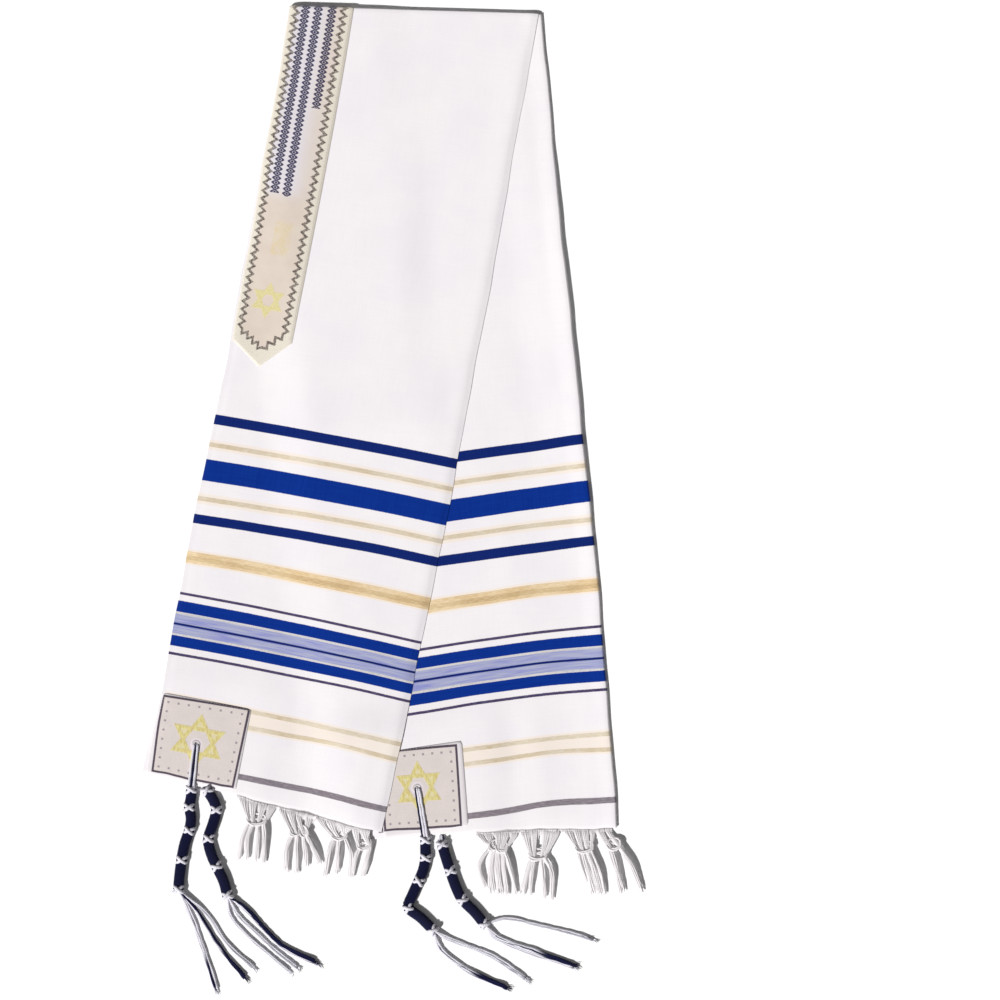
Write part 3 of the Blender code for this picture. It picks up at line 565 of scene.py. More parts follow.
def cloth_place(leaf, along, across):
    """X and Y on a leaf, with the small waves of its edges."""
    half = half_width(leaf, along)
    left = 1 - ease((across + half) / EDGE_WAVE_WIDTH)
    right = 1 - ease((half - across) / EDGE_WAVE_WIDTH)
    sideways = ease((along - 12) / 70) * (left * waves(along, EDGE_WAVES[leaf, "left"])
                                          + right * waves(along, EDGE_WAVES[leaf, "right"]))
    if leaf == "front":
        sideways = sideways + left * between(along, EDGE_SHIFTS)[..., 0]
    near_hem = 1 - ease((HEM[leaf][0] - along) / HEM_WAVE_WIDTH)
    return place(leaf, along + near_hem * waves(across, HEM_WAVES), across + sideways)


# --- heights ---

def lifted(along, across, low, high):
    """How far cloth is lifted by a piece sewn on between two corners, given as (across, along)."""
    return (APPLIQUE + GAP) * plateau(across, low[0], high[0]) * plateau(along, low[1], high[1])


def patch_lift(leaf, along, across):
    return lifted(along, across, *PATCHES[leaf][:2])


def leaf_bottom(leaf, along, across):
    if leaf == "back":
        edge = -half_width(leaf, along)
        band = lifted(along, across, (edge, PAST_FOLD), (edge + BAND_RIGHT, BAND_POINT_END))
        return np.maximum(patch_lift(leaf, along, across), band)
    back_along, back_across = find_place("back", place(leaf, along, across))
    half = half_width("back", back_along)
    level = (leaf_top("back", back_along, np.clip(back_across, -half, half)) + LEAF_GAP
             + patch_lift("back", back_along, back_across))
    share = 1 - ease((-half - back_across - DRAPE_LEVEL) / DRAPE_FADE)
    return np.maximum(level * share, patch_lift(leaf, along, across))


def swell(leaf, along, across):
    return FOLD_SWELL * ease((across - half_width(leaf, along)) / FOLD_SWELL_WIDTH + 1)


def leaf_top(leaf, along, across):
    return leaf_bottom(leaf, along, across) + LEAF + swell(leaf, along, across)


def creases(leaf, along, across):
    """Height of the soft creases, which die out at the cross fold and the long edges."""
    height = np.zeros(np.broadcast(along, across).shape)
    for *ends, reach, high in CREASES[leaf]:
        start, finish = np.reshape(ends, (2, 2))
        length = np.linalg.norm(finish - start)
        way = (finish - start) / length
        run = (along - start[0]) * way[0] + (across - start[1]) * way[1]
        bend = reach * 0.3 * np.sin(run / length * 5.0 + start[1])
        aside = (across - start[1]) * way[0] - (along - start[0]) * way[1] + bend
        fade = length * 0.35
        shown = ease(run / fade + 0.5) * ease((length - run) / fade + 0.5)
        height += high * shown * np.exp(-(aside / reach) ** 2)
    return height * ease((along - 10) / 60) * ease((half_width(leaf, along) - np.abs(across)) / 16)


def cloth_top(leaf, along, across):
    """Height of the cloth's face on a leaf's upper layer."""
    half = half_width(leaf, along)
    dip = np.maximum(EDGE_DIP * (1 - ease((across + half) / EDGE_DIP_WIDTH)),
                     HEM_DIP * (1 - ease((hem_along(leaf, across) - along) / HEM_DIP_WIDTH)))
    if leaf == "front":
        near_fold = np.clip((across - half + NOSES[leaf]) / FLATTENED_WIDTH + 1, 0, 1)
        rise = (FLATTENED - LEAF) * near_fold ** 3
    else:
        puff, start, full, fading, gone = PUFF
        less = 1 - 0.75 * ease((along - fading) / (gone - fading))
        puff = puff * ease((along - start) / (full - start)) * less
        rise = swell(leaf, along, across) + puff * ease((across - half) / PUFF_WIDTH + 1)
    return leaf_bottom(leaf, along, across) + LEAF + rise - dip + creases(leaf, along, across)


def applique_height(leaf, along, across, from_edge):
    """Height of the face of a piece sewn on to a leaf, turned down at its edges."""
    drop = BAND_EDGE_DROP * (1 - ease(from_edge / BAND_EDGE_WIDTH))
    return cloth_top(leaf, along, across) + GAP + APPLIQUE - drop


def turn_over(spots, heights, step):
    """Carry the front leaf's first rows round the cross fold, and tell how far each is turned."""
    angle = math.pi * np.clip(1 - step / CROSS_CELLS, 0, 1)
    folded = angle > 0
    back_along, back_across = find_place("back", spots[folded])
    limit = half_width("back", 0.0)
    on_back = ("back", back_along, np.clip(back_across, -limit, limit))
    inner = LEAF_GAP / 2
    centre = leaf_top(*on_back) + inner
    above = leaf_top("front", *find_place("front", spots[folded])) - centre
    below = centre - leaf_bottom(*on_back)
    radius = heights[folded] - centre
    inside = np.minimum(radius, above)
    thickness = mix(above, below, angle[folded] / math.pi) - inner
    wound = inner + (inside - inner) * thickness / (above - inner) + radius - inside
    radius = np.where(radius > inner, wound, radius)
    outward = CROSS_FOLD_REACH * radius * np.sin(angle[folded])
    spots[folded] += outward[:, None] * FOLD_OUTWARD
    heights[folded] = centre + radius * np.cos(angle[folded])
    return angle


# --- building meshes ---

def write_places(mesh, spots, heights, strip):
    """Places in millimetres become points in metres, and the strip's places a UV map."""
    points = np.column_stack((spots + np.array(TABLE_ZERO), heights)) * MM
    mesh.vertices.foreach_set("co", np.ascontiguousarray(points, np.float32).ravel())
    corners = np.empty(len(mesh.loops), np.int32)
    mesh.loops.foreach_get("vertex_index", corners)
    layer = mesh.uv_layers.new(name="strip")
    layer.data.foreach_set("uv", np.ascontiguousarray(strip[corners], np.float32).ravel())


def join_seams(mesh, ends=False):
    """Merge doubled points; with ends, fill those too and turn all faces outwards."""
    bm = bmesh.new()
    bm.from_mesh(mesh)
    bmesh.ops.remove_doubles(bm, verts=bm.verts, dist=SEAM)
    if ends:
        bmesh.ops.holes_fill(bm, edges=[edge for edge in bm.edges if edge.is_boundary], sides=0)
        bmesh.ops.recalc_face_normals(bm, faces=bm.faces)
    bm.to_mesh(mesh)
    bm.free()


def place_object(name, mesh, node, material):
    mesh.materials.append(material)
    mesh.shade_smooth()
    made = bpy.data.objects.new(name, mesh)
    bpy.context.scene.collection.objects.link(made)
    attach(made, "root")
    if node:
        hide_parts(node)
    return made


def make_sheet(name, node, material, columns, rows, thickness, rounding, shape):
    """A grid that shape() places from its columns and rows, with the thickness under its face and a
    small rounding of the cut edges."""
    bm = bmesh.new()
    bmesh.ops.create_grid(bm, x_segments=columns, y_segments=rows, size=0.5)
    mesh = bpy.data.meshes.new(name)
    bm.to_mesh(mesh)
    bm.free()
    row, column = np.mgrid[0:rows + 1, 0:columns + 1]
    write_places(mesh, *shape(column.ravel(), row.ravel()))
    mesh.update()
    join_seams(mesh)
    made = place_object(name, mesh, node, material)
    set_all(made.modifiers.new("thickness", "SOLIDIFY"), thickness=thickness * MM, offset=-1,
            use_rim=True, use_even_offset=False)
    set_all(made.modifiers.new("soft_edge", "BEVEL"), limit_method="ANGLE",
            angle_limit=math.radians(55), width=rounding * MM, segments=2, profile=0.5, material=-1,
            affect="EDGES")
    return made


# --- the two leaves ---

def leaf_surface(leaf, column, share):
    """Places, heights and strip places on a leaf's outside: its upper layer from the open edge,
    round the lengthwise fold, and its under layer back to the open edge."""
    half = half_width(leaf, share * HEM[leaf][0])
    turn = half - NOSES[leaf]
    start_gap = GAP if leaf == "back" else 0.0

    def along_at(across):
        return mix(fold_along(leaf, across) + start_gap, hem_along(leaf, across), share)

    upper = np.clip(column / UPPER_CELLS, 0, 1)
    angle = math.pi * np.clip((column - UPPER_CELLS) / ROUND_CELLS, 0, 1)
    under = np.clip((column - UPPER_CELLS - ROUND_CELLS) / UPPER_CELLS, 0, 1)
    out = ease((along_at(-half) - OVERHANG_START) / (OVERHANG_FULL - OVERHANG_START))
    on_top = column <= UPPER_CELLS
    across = np.where(on_top, mix(-half, turn, upper), mix(turn, -half - mix(*OVERHANG, out), under))
    along = along_at(across)
    bottom = leaf_bottom(leaf, along, across)
    if leaf == "front":
        bottom = bottom - SETTLING * ease((across - half) / SETTLING_WIDTH + 1) * ease((along - 15) / 50)
    radius = (cloth_top(leaf, along, across) - bottom) / 2
    spots = cloth_place(leaf, along, across + NOSES[leaf] * np.sin(angle))
    girth = np.where(on_top, across + half, turn + half + radius * angle + (turn - across))
    strip = np.column_stack((girth, along + drift(leaf, along, across))) * MM
    return spots, bottom + radius * (1 + np.cos(angle)), strip


def make_leaf(leaf, material):
    cross = CROSS_CELLS if leaf == "front" else 0
    rows = LEAF_CELLS + cross

    def shape(column, row):
        step = rows - row                       # 0 at the cross fold's far side
        share = np.clip((step - cross) / LEAF_CELLS, 0, 1)
        spots, heights, strip = leaf_surface(leaf, column, share)
        if cross:
            strip[:, 1] -= turn_over(spots, heights, step) * 4.0 * MM
        return spots, heights, strip

    return make_sheet(f"striped_{leaf}_leaf", f"cloth_{leaf}_leaf", material,
                      2 * UPPER_CELLS + ROUND_CELLS, rows, SHEET, 0.18, shape)


# --- neckband ---

def band_end(share):
    return np.interp(share, (0, BAND_POINT_SHARE, 1), (BAND_LEFT_END, BAND_POINT_END, BAND_RIGHT_END))


def band_places(leaf, share, row_share, start_gap):
    along = row_share * BAND_POINT_END
    inset = mix(*BAND_INSETS, ease((along - 110) / 190))
    across = -half_width(leaf, along) + mix(inset, BAND_RIGHT, share)
    return mix(fold_along(leaf, across) + start_gap, band_end(share), row_share), across


def make_shown_band(material):
    rows = BAND_ROWS + CROSS_CELLS

    def shape(column, row):
        step = rows - row
        share = column / BAND_CELLS
        row_share = np.clip((step - CROSS_CELLS) / BAND_ROWS, 0, 1)
        along, across = band_places("front", share, row_share, 0.0)
        from_edge = np.minimum(np.minimum(share, 1 - share) * BAND_WIDTH, band_end(share) - along)
        spots = cloth_place("front", along, across)
        heights = applique_height("front", along, across, from_edge)
        angle = turn_over(spots, heights, step)
        return spots, heights, np.column_stack((share * BAND_WIDTH, along - angle * 5.0)) * MM

    return make_sheet("neckband_shown", "neckband_front", material, BAND_CELLS, rows,
                      FACE * APPLIQUE, 0.25, shape)


def make_hidden_band(material):
    def shape(column, row):
        share = 1 - column / BAND_CELLS
        along, across = band_places("back", share, 1 - row / BAND_ROWS, GAP)
        spots = cloth_place("back", along, across)
        return spots, 0.0 * along, np.column_stack((share * BAND_WIDTH, along)) * MM

    return make_sheet("neckband_hidden", "neckband_back", material, BAND_CELLS,
                      BAND_ROWS, APPLIQUE, 0.25, shape)


# --- corner patches ---

def patch_edge(leaf, angle):
    """The patch's rounded rectangle, as (across, along), at angles from its middle."""
    low, high, _ = np.array(PATCHES[leaf])
    half = (high - low) / 2
    straight = half - PATCH_CORNER
    reach = (half / np.maximum(np.abs(ray(angle)), 1e-9)).min(-1)
    point = ray(angle) * reach[:, None]
    excess = np.abs(point) - straight
    rounded = np.sign(point) * (straight + unit(np.maximum(excess, 1e-6)) * PATCH_CORNER)
    return (low + high) / 2 + np.where((excess.min(-1) > 0)[:, None], rounded, point)


def area(first, second):
    return first[:, 0] * second[:, 1] - first[:, 1] * second[:, 0]


def patch_strip(leaf, flat):
    """Where places on a patch fall on its woven pattern, from the pattern's middle."""
    top_left, top_right, bottom_right, bottom_left = np.array(LINE_CORNERS[leaf])
    shares = np.full(flat.shape, 0.5)
    for _ in range(6):
        right, down = shares[:, :1], shares[:, 1:]
        error = flat - mix(mix(top_left, top_right, right), mix(bottom_left, bottom_right, right), down)
        rightward = mix(top_right - top_left, bottom_right - bottom_left, down)
        downward = mix(bottom_left - top_left, bottom_right - top_right, right)
        step = np.column_stack((area(error, downward), area(rightward, error)))
        shares = shares + step / area(rightward, downward)[:, None]
    return (shares - 0.5) * np.array(LINE_SIZES[leaf]) * np.array((1, -1)) * MM


def make_upper_patch(leaf, material):
    hole = np.array(PATCHES[leaf][2])

    def shape(column, row):
        angle = -2 * math.pi * column / PATCH_CELLS_AROUND
        share = (1 - row / PATCH_CELLS_OUT) ** 0.9
        edge = patch_edge(leaf, angle)
        flat = mix(hole + HOLE_RADIUS * ray(angle), edge, share[:, None])
        across, along = flat.T
        heights = applique_height(leaf, along, across, np.linalg.norm(edge - flat, axis=1))
        return cloth_place(leaf, along, across), heights, patch_strip(leaf, flat)

    return make_sheet(f"corner_patch_{leaf}", f"corner_{leaf}_upper", material,
                      PATCH_CELLS_AROUND, PATCH_CELLS_OUT, FACE * APPLIQUE, 0.22, shape)


def make_under_patch(leaf, material):
    (left, top), (right, bottom), _ = PATCHES[leaf]

    def shape(column, row):
        across = mix(right, left, column / UNDER_PATCH_CELLS)
        along = mix(bottom, top, row / UNDER_PATCH_CELLS)
        return place(leaf, along, across), 0.0 * along, patch_strip(leaf, np.column_stack((across, along)))

    return make_sheet(f"corner_patch_{leaf}_hidden", f"corner_{leaf}_under", material,
                      UNDER_PATCH_CELLS, UNDER_PATCH_CELLS, APPLIQUE, 0.22, shape)


# --- strands ---

class Strands:
    """Strands of yarn, joined into one mesh.  Each is swept along a route in millimetres, with a
    share of navy, and a twist of two plies."""

    def __init__(self):
        self.bm = bmesh.new()
        self.parts = []

    def add(self, route, radius, sides=8, navy=0.0, lobe=0.0, lay=5.0, flat=1.0, tip=0.45):
        route = np.asarray(route, float)
        count = len(route)
        radius = np.array(np.broadcast_to(radius, count), float)
        radius[[0, -1]] *= tip
        way = unit(np.gradient(route, axis=0))
        side = np.empty_like(way)
        last = np.cross(way[0], (0.0, 0.0, 1.0))
        if np.linalg.norm(last) < 0.1:
            last = np.array((1.0, 0.0, 0.0))
        for index in range(count):
            last = unit(last - (last @ way[index]) * way[index])
            side[index] = last
        up = np.cross(side, way) * flat
        run = run_of(route)[:, None] / lay
        angle = 2 * math.pi * np.arange(sides + 1) / sides
        reach = radius[:, None] * (1 + lobe * np.cos(2 * (angle - 2 * math.pi * run)))
        ring = (route[:, None] + (reach * np.cos(angle))[..., None] * side[:, None]
                + (reach * np.sin(angle))[..., None] * up[:, None])
        bmesh.ops.create_grid(self.bm, x_segments=sides, y_segments=count - 1, size=0.5)
        shade = np.broadcast_to(navy, count)[:, None]
        values = (*np.moveaxis(ring, -1, 0), angle / (2 * math.pi), run, shade)
        self.parts.append(np.stack(np.broadcast_arrays(*values), -1).reshape(-1, 6))

    def finish(self, name, slot, node, material):
        mesh = bpy.data.meshes.new(name)
        self.bm.to_mesh(mesh)
        self.bm.free()
        values = np.vstack(self.parts)
        write_places(mesh, values[:, :2], values[:, 2], values[:, 3:5])
        shade = mesh.attributes.new("navy", "FLOAT", "POINT")
        shade.data.foreach_set("value", values[:, 5].astype(np.float32))
        join_seams(mesh, ends=True)
        return place_object(name, mesh, node, material)


# --- fringe ---

def strip_height(leaf, layer, across):
    lift = LAYER + SLIT if layer == "upper" else FLOOR_CLEAR
    return float(leaf_bottom(leaf, hem_along(leaf, across), across)) + lift + STRIP_THICKNESS / 2


def edge_spot(leaf, across, past):
    edge = cloth_place(leaf, hem_along(leaf, across) + GAP, across)
    return edge + directions(leaf, HEM[leaf][0])[1] * past


def make_loop(strands, start, finish, sag, thick, height, depth):
    """A turn of the bunch's own yarn, over it and back below it."""
    t = np.linspace(-0.2, 2 * math.pi + 0.2, 30)
    way = unit(finish - start)
    half = np.linalg.norm(finish - start) / 2
    spots = (start + finish) / 2 - np.outer(np.cos(t) * half, way) + np.outer(sag * np.sin(t), beside(way))
    strands.add(np.column_stack((spots, height + depth * np.sin(t))), thick, lobe=0.14, lay=3.6)


def make_lock(strands, random, leaf, layer, lock):
    """Threads that leave the hem side by side, gather to a soft lock and end unevenly."""
    left, right, *spots, width = lock
    knot, bend, tip = np.reshape(spots, (3, 2))
    count = int(width / THREAD_PITCH) + 3
    down = directions(leaf, HEM[leaf][0])[1]
    root = edge_spot(leaf, (left + right) / 2, 3.0)
    bow = bend - (knot + tip) / 2
    middle_line = smooth_route((root, mix(root, knot, 0.55) + down * 0.8, knot,
                                mix(knot, bend, 0.5) + bow * 0.12, bend,
                                mix(bend, tip, 0.5) + bow * 0.16, tip), 5)
    share = shares_of(middle_line)
    free = ease(share / 0.4)
    for index in range(count):
        place_in = (index + 0.5) / count - 0.5
        across = mix(left, right, place_in + 0.5)
        start = edge_spot(leaf, across, -1.6)
        below = edge_spot(leaf, across, 2.2 + random.uniform(-0.5, 0.5))
        root_height = strip_height(leaf, layer, across)
        spread = mix(0.7, 0.86, ease((share - 0.35) / 0.25)) * (1 + 0.22 * ease((share - 0.7) / 0.3))
        stray = waves(share, ((0.8, 1.0, random.uniform(0, 6)), (0.37, 0.5, random.uniform(0, 6))))
        aside = place_in * (width - THREAD) * spread + 0.35 * stray * free
        bulge = 0.9 * (1 - (2 * place_in) ** 2) + (0.45 if index % 2 else -0.35)
        height = mix(root_height, LOCK_HEIGHT, ease(share / 0.38))
        height = (mix(height, TIP_HEIGHT, ease((share - 0.62) / 0.36))
                  + bulge * mix(0.2, 1.0, free) * mix(1.0, 0.75, ease((share - 0.6) / 0.4)))
        route = np.column_stack((middle_line, np.maximum(height, FLOOR_CLEAR + THREAD)))
        route = offset_route(route, -aside)
        late = ease((share - 0.05) / 0.24)[:, None]
        route[:, :2] = mix(below + np.outer(share * 18.0, down), route[:, :2], late)
        keep = share <= 1 - random.uniform(0.0, 0.09)
        route = np.vstack(((*start, root_height), route[keep]))
        radius = np.full(len(route), THREAD * random.uniform(0.9, 1.1))
        radius[:3] *= (0.6, 0.75, 0.9)
        radius[-2:] *= (0.95, 0.8)
        strands.add(route, radius, sides=6, lobe=0.1, lay=4.6, tip=0.7)


def make_bunch(strands, random, leaf, layer, locks):
    for lock in locks:
        make_lock(strands, random, leaf, layer, lock)
    first, last = np.array(locks[0][2:4]), np.array(locks[-1][2:4])
    way = unit(last - first)
    start, finish = first - way * LOOP_REACH, last + way * LOOP_REACH
    down = beside(way)
    lift = random.uniform(0.6, 1.6, 3) * random.choice((-1, 1))
    make_loop(strands, start + down * (lift[0] - 4.2), finish - down * (lift[0] + 4.2), 5.2, 1.15,
              LOCK_HEIGHT - 0.2, 1.8)
    make_loop(strands, start - down * (lift[1] + 2.0), mix(start, finish, 0.75) + down * lift[1], 3.6,
              1.15, LOCK_HEIGHT + 0.1, 1.9)
    make_loop(strands, mix(start, finish, 0.25) + down * lift[2], finish - down * 3.2, 3.2, 1.1,
              LOCK_HEIGHT + 0.2, 1.9)


def make_fringe(node, material):
    _, leaf, layer = node.split("_")
    bunches = FRINGES[node]
    random = np.random.default_rng(sum(map(ord, node)))
    strands = Strands()
    more_left, more_right = STUB_MARGINS[layer]
    aside, down = directions(leaf, HEM[leaf][0])
    knots = np.array([np.mean([lock[2:4] for lock in locks], axis=0) for locks in bunches])
    for across in np.arange(bunches[0][0][0] - more_left, bunches[-1][-1][1] + more_right, STUB_PITCH):
        across = across + random.uniform(-0.4, 0.4)
        root = edge_spot(leaf, across, -1.5)
        knot = knots[np.argmin(np.linalg.norm(knots - root, axis=1))]
        aim = (knot - root) @ aside
        reach = random.uniform(8.0, 15.0) * (1 - 0.6 * min(abs(aim) / 25.0, 1.0))
        way = down + aside * np.clip(aim / 26.0, -0.6, 0.6)
        tip = root + way * reach + aside * random.uniform(-0.7, 0.7)
        height = strip_height(leaf, layer, across)
        strands.add([(*root, height), (*mix(root, tip, 0.5), height + 0.3), (*tip, height)], 0.6,
                    sides=5, tip=0.6)
    for locks in bunches:
        make_bunch(strands, random, leaf, layer, locks)
    return strands.finish(node + "_threads", "fringe_yarn", node, material)


# --- tassels ---

def cord_points(leaf, across, first):
    """Middle line of the doubled cord, from the hole or the hem to the head."""
    if across is not None:
        edge = place(leaf, hem_along(leaf, across) + 0.9, across)
        return [(*edge, FLOOR_CLEAR + 1.2), (*mix(edge, first, 0.5), 3.0)]
    across, along = PATCHES[leaf][2]
    surface = float(cloth_top(leaf, along, across))
    hole = place(leaf, along, across)
    on_patch = surface + 2 * GAP + APPLIQUE + 0.8
    way = unit(first - hole)
    edge = place(leaf, hem_along(leaf, across), across)
    edge = hole + way * (float((edge - hole) @ way) + 1.0)
    return [(*(hole - way * 0.8), surface + GAP * 0.5), (*(hole + way * 0.2), surface + GAP + APPLIQUE * 0.9),
            (*(hole + way * 3.4), on_patch + 0.25), (*mix(hole, edge, 0.5), on_patch), (*edge, on_patch)]


def wind(strands, route):
    """Navy thread wound closely round the head."""
    fine = resample(route, WINDING_PITCH / 14)
    t = 2 * math.pi * np.arange(len(fine)) / 14
    wound = offset_route(fine, WOUND_WIDE * np.cos(t))
    wound[:, 2] += WOUND_HIGH * np.sin(t)
    strands.add(wound, WINDING, sides=6, navy=1.0)


def double_knot(strands, random, centre, way):
    """Two loops of white cord that cross on top."""
    turn = random.choice((-1, 1))
    for lean, grow in ((turn * 3.5, 0.0), (-turn * 3.0, 1.3)):
        t = np.linspace(-0.6 * math.pi, 1.7 * math.pi, 30)
        run = lean * random.uniform(0.8, 1.15) * np.cos(t) + random.uniform(-0.4, 0.4)
        wide = KNOT_WIDE * np.cos(t) + random.uniform(-0.3, 0.3)
        spots = np.asarray(centre) + np.outer(run, way) + np.outer(wide, beside(way))
        heights = HEAD_MIDDLE + (KNOT_HIGH + grow * ease(np.sin(t))) * np.sin(t)
        heights = np.maximum(heights, KNOT_THREAD * 1.15)
        strands.add(np.column_stack((spots, heights)), KNOT_THREAD, lobe=0.12, lay=3.4)


def fray(strands, random, route, navy):
    """Loose fibres at the cut end of a strand."""
    end = route[-1]
    way = unit(route[-1, :2] - route[-4, :2])
    side = beside(way)
    for _ in range(5):
        reach = random.uniform(3.5, 8.0)
        lean = random.uniform(-0.35, 0.35)
        near = end[:2] + way * reach * 0.5 + side * reach * 0.5 * lean
        far = end[:2] + way * reach + side * reach * lean * 1.5
        start = end[:2] - way * 1.5 + side * lean
        strands.add([(*start, end[2]), (*near, end[2]), (*far, end[2] * 0.7)], FIBRE, sides=5,
                    navy=navy, tip=0.5)


def make_fan(strands, random, fans, end):
    """The loose strands below the last knot, in the order in which they leave it."""
    strand_places = [(fan, lane, row, shade) for fan in fans for lane, shades in enumerate(fan[3])
                     for row, shade in enumerate(shades)]
    for (near, far, tip, lanes), lane, row, shade in strand_places:
        last = np.array(tip) + unit(np.subtract(tip, far)) * random.uniform(-6.0, 0.5)
        flat = smooth_route((end, near, far, last), 14)
        share = shares_of(flat)
        height = mix(HEAD_MIDDLE - 1.0 + row * ROW_RISE, STRAND_HEIGHTS[row], ease(share / 0.35))
        aside = (lane - (len(lanes) - 1) / 2) * STRAND_PITCH + (row - 0.5) * ROW_SHIFT
        stray = waves(share, ((0.55, 0.5 * random.uniform(0.4, 1.2), random.uniform(0, 6)),
                              (0.23, 0.16, random.uniform(0, 6))))
        route = offset_route(np.column_stack((flat, height)),
                             -(aside * ease(share / 0.3) + stray * ease(share / 0.5)))
        start, finish = SHADES[shade]
        thick = STRAND * (1 + 0.25 * finish) * (1 + 0.3 * ease((share - 0.84) / 0.14))
        route[:, 2] = np.maximum(route[:, 2], thick * 1.2)
        strands.add(route, thick, sides=9, navy=mix(start, finish, ease((share - 0.6) / 0.2)),
                    lobe=0.17, lay=5.2, tip=0.8)
        fray(strands, random, route, finish)


def make_tassel(node, material):
    tassel = TASSELS[node]
    random = np.random.default_rng(sum(map(ord, node)))
    strands = Strands()
    head = tassel["head"]
    route = smooth_route([(*spot, HEAD_MIDDLE) for spot in head], 8)
    start = cord_points(node.split("_")[1], tassel["hem_across"], np.array(head[0]))
    cord = smooth_route([*start, route[0]], 8)
    # The cord's strands lie side by side; a front cord's thin navy middle strand is painted shade between its
    # two white strands.
    for lane, shade in enumerate(tassel["cord"]):
        aside = (1 - lane) * mix(1.4, 2.6, ease(shares_of(cord) * 1.3))
        strands.add(offset_route(cord, aside), CORD_RADII[shade], sides=9,
                    navy=SHADES[shade][0], lobe=0.15)
    strands.add(resample(route, 3.0), WOUND_WIDE - 0.3, sides=12, navy=1.0,
                flat=WOUND_HIGH / WOUND_WIDE, tip=0.7)
    wind(strands, route)
    for spot in head[::2]:
        index = int(np.argmin(np.linalg.norm(route[:, :2] - np.array(spot), axis=1)))
        ahead = route[min(index + 2, len(route) - 1), :2] - route[max(index - 2, 0), :2]
        double_knot(strands, random, spot, unit(ahead))
    make_fan(strands, random, tassel["fans"], route[-1, :2])
    return strands.finish(node + "_cords", "tassel_cord", node, material)


# --- stitches ---

def stitch_along(strands, spots, heights):
    """Short stitches that follow a line of places and heights."""
    line = resample(np.column_stack((spots, heights)), STITCH_PITCH / STITCH_STEPS)
    for index in range((len(line) - 1) // STITCH_STEPS):
        piece = line[index * STITCH_STEPS:][:len(STITCH_RISE)].copy()
        piece[:, 2] += STITCH_RISE
        strands.add(piece, STITCH_THREAD, sides=5, tip=0.6)


def make_band_stitches(material):
    strands = Strands()
    inset = BAND_STITCH_INSET / BAND_WIDTH
    rows = np.linspace(*BAND_STITCH_ROWS, 240)
    for share, row_share in ((inset, rows), (1 - inset, rows),
                             (np.linspace(inset, 1 - inset, 120), rows[-1])):
        along, across = band_places("front", share, row_share, 0.0)
        stitch_along(strands, cloth_place("front", along, across),
                     cloth_top("front", along, across) + GAP + APPLIQUE)
    return strands.finish("neckband_stitches", "neckband_fabric", None, material)


def make_patch_stitches(leaf, material):
    low, high, hole = np.array(PATCHES[leaf])
    strands = Strands()
    edge = patch_edge(leaf, np.linspace(0, 2 * math.pi, 361))
    middle = (low + high) / 2
    across, along = (middle + (edge - middle) * (1 - 2 / (high - low))).T
    stitch_along(strands, cloth_place(leaf, along, across), applique_height(leaf, along, across, 1.0))
    for turn in np.linspace(0, 2 * math.pi, 34, endpoint=False):
        across, along = (hole + np.outer(HOLE_RADIUS + np.array(EYELET_REACH), ray(turn))).T
        heights = cloth_top(leaf, along, across) + GAP + APPLIQUE + np.array(EYELET_RISE)
        strands.add(np.column_stack((cloth_place(leaf, along, across), heights)), 0.3, sides=5, tip=0.7)
    return strands.finish(f"corner_stitches_{leaf}", "patch_fabric", None, material)


# --- materials ---

def screen(*values):
    """The shader's colour for a face that should look like these screen values, from 0 to 255."""
    shares = [value / 255 for value in values]
    linear = [share / 12.92 if share <= 0.04045 else ((share + 0.055) / 1.055) ** 2.4 for share in shares]
    return (*(share / ROOM_LIGHT for share in linear), 1.0)


class Value:
    """What a node of a tree puts out, ready to be reckoned with."""

    def __init__(self, graph, socket):
        self.graph = graph
        self.socket = socket

    def math(self, operation, *others):
        return self.graph.add("ShaderNodeMath", self, *others, operation=operation)

    def __add__(self, other):
        return self.math("ADD", other)

    def __sub__(self, other):
        return self.math("SUBTRACT", other)

    def __rsub__(self, other):
        return self.graph.add("ShaderNodeMath", other, self, operation="SUBTRACT")

    def __mul__(self, other):
        return self.math("MULTIPLY", other)

    def __abs__(self):
        return self.math("ABSOLUTE")

    def sine(self):
        return self.math("SINE")

    def pingpong(self, scale):
        return self.math("PINGPONG", scale)

    def below(self, other):
        return self.math("LESS_THAN", other)

    def span(self, low, high, to_low=0.0, to_high=1.0):
        return self.graph.add("ShaderNodeMapRange", self, low, high, to_low, to_high,
                              interpolation_type="SMOOTHSTEP")


def largest(first, *others):
    for other in others:
        first = first.math("MAXIMUM", other)
    return first


def smallest(first, *others):
    for other in others:
        first = first.math("MINIMUM", other)
    return first


def distance(first, second):
    return (first * first + second * second).math("SQRT")


def on_line(away, width, outside=0.0003, inside=0.0004):
    """1 on a line of this width, by the distance from its middle, with a soft edge."""
    half = width * 0.5
    return away.span(half + outside, half - inside)


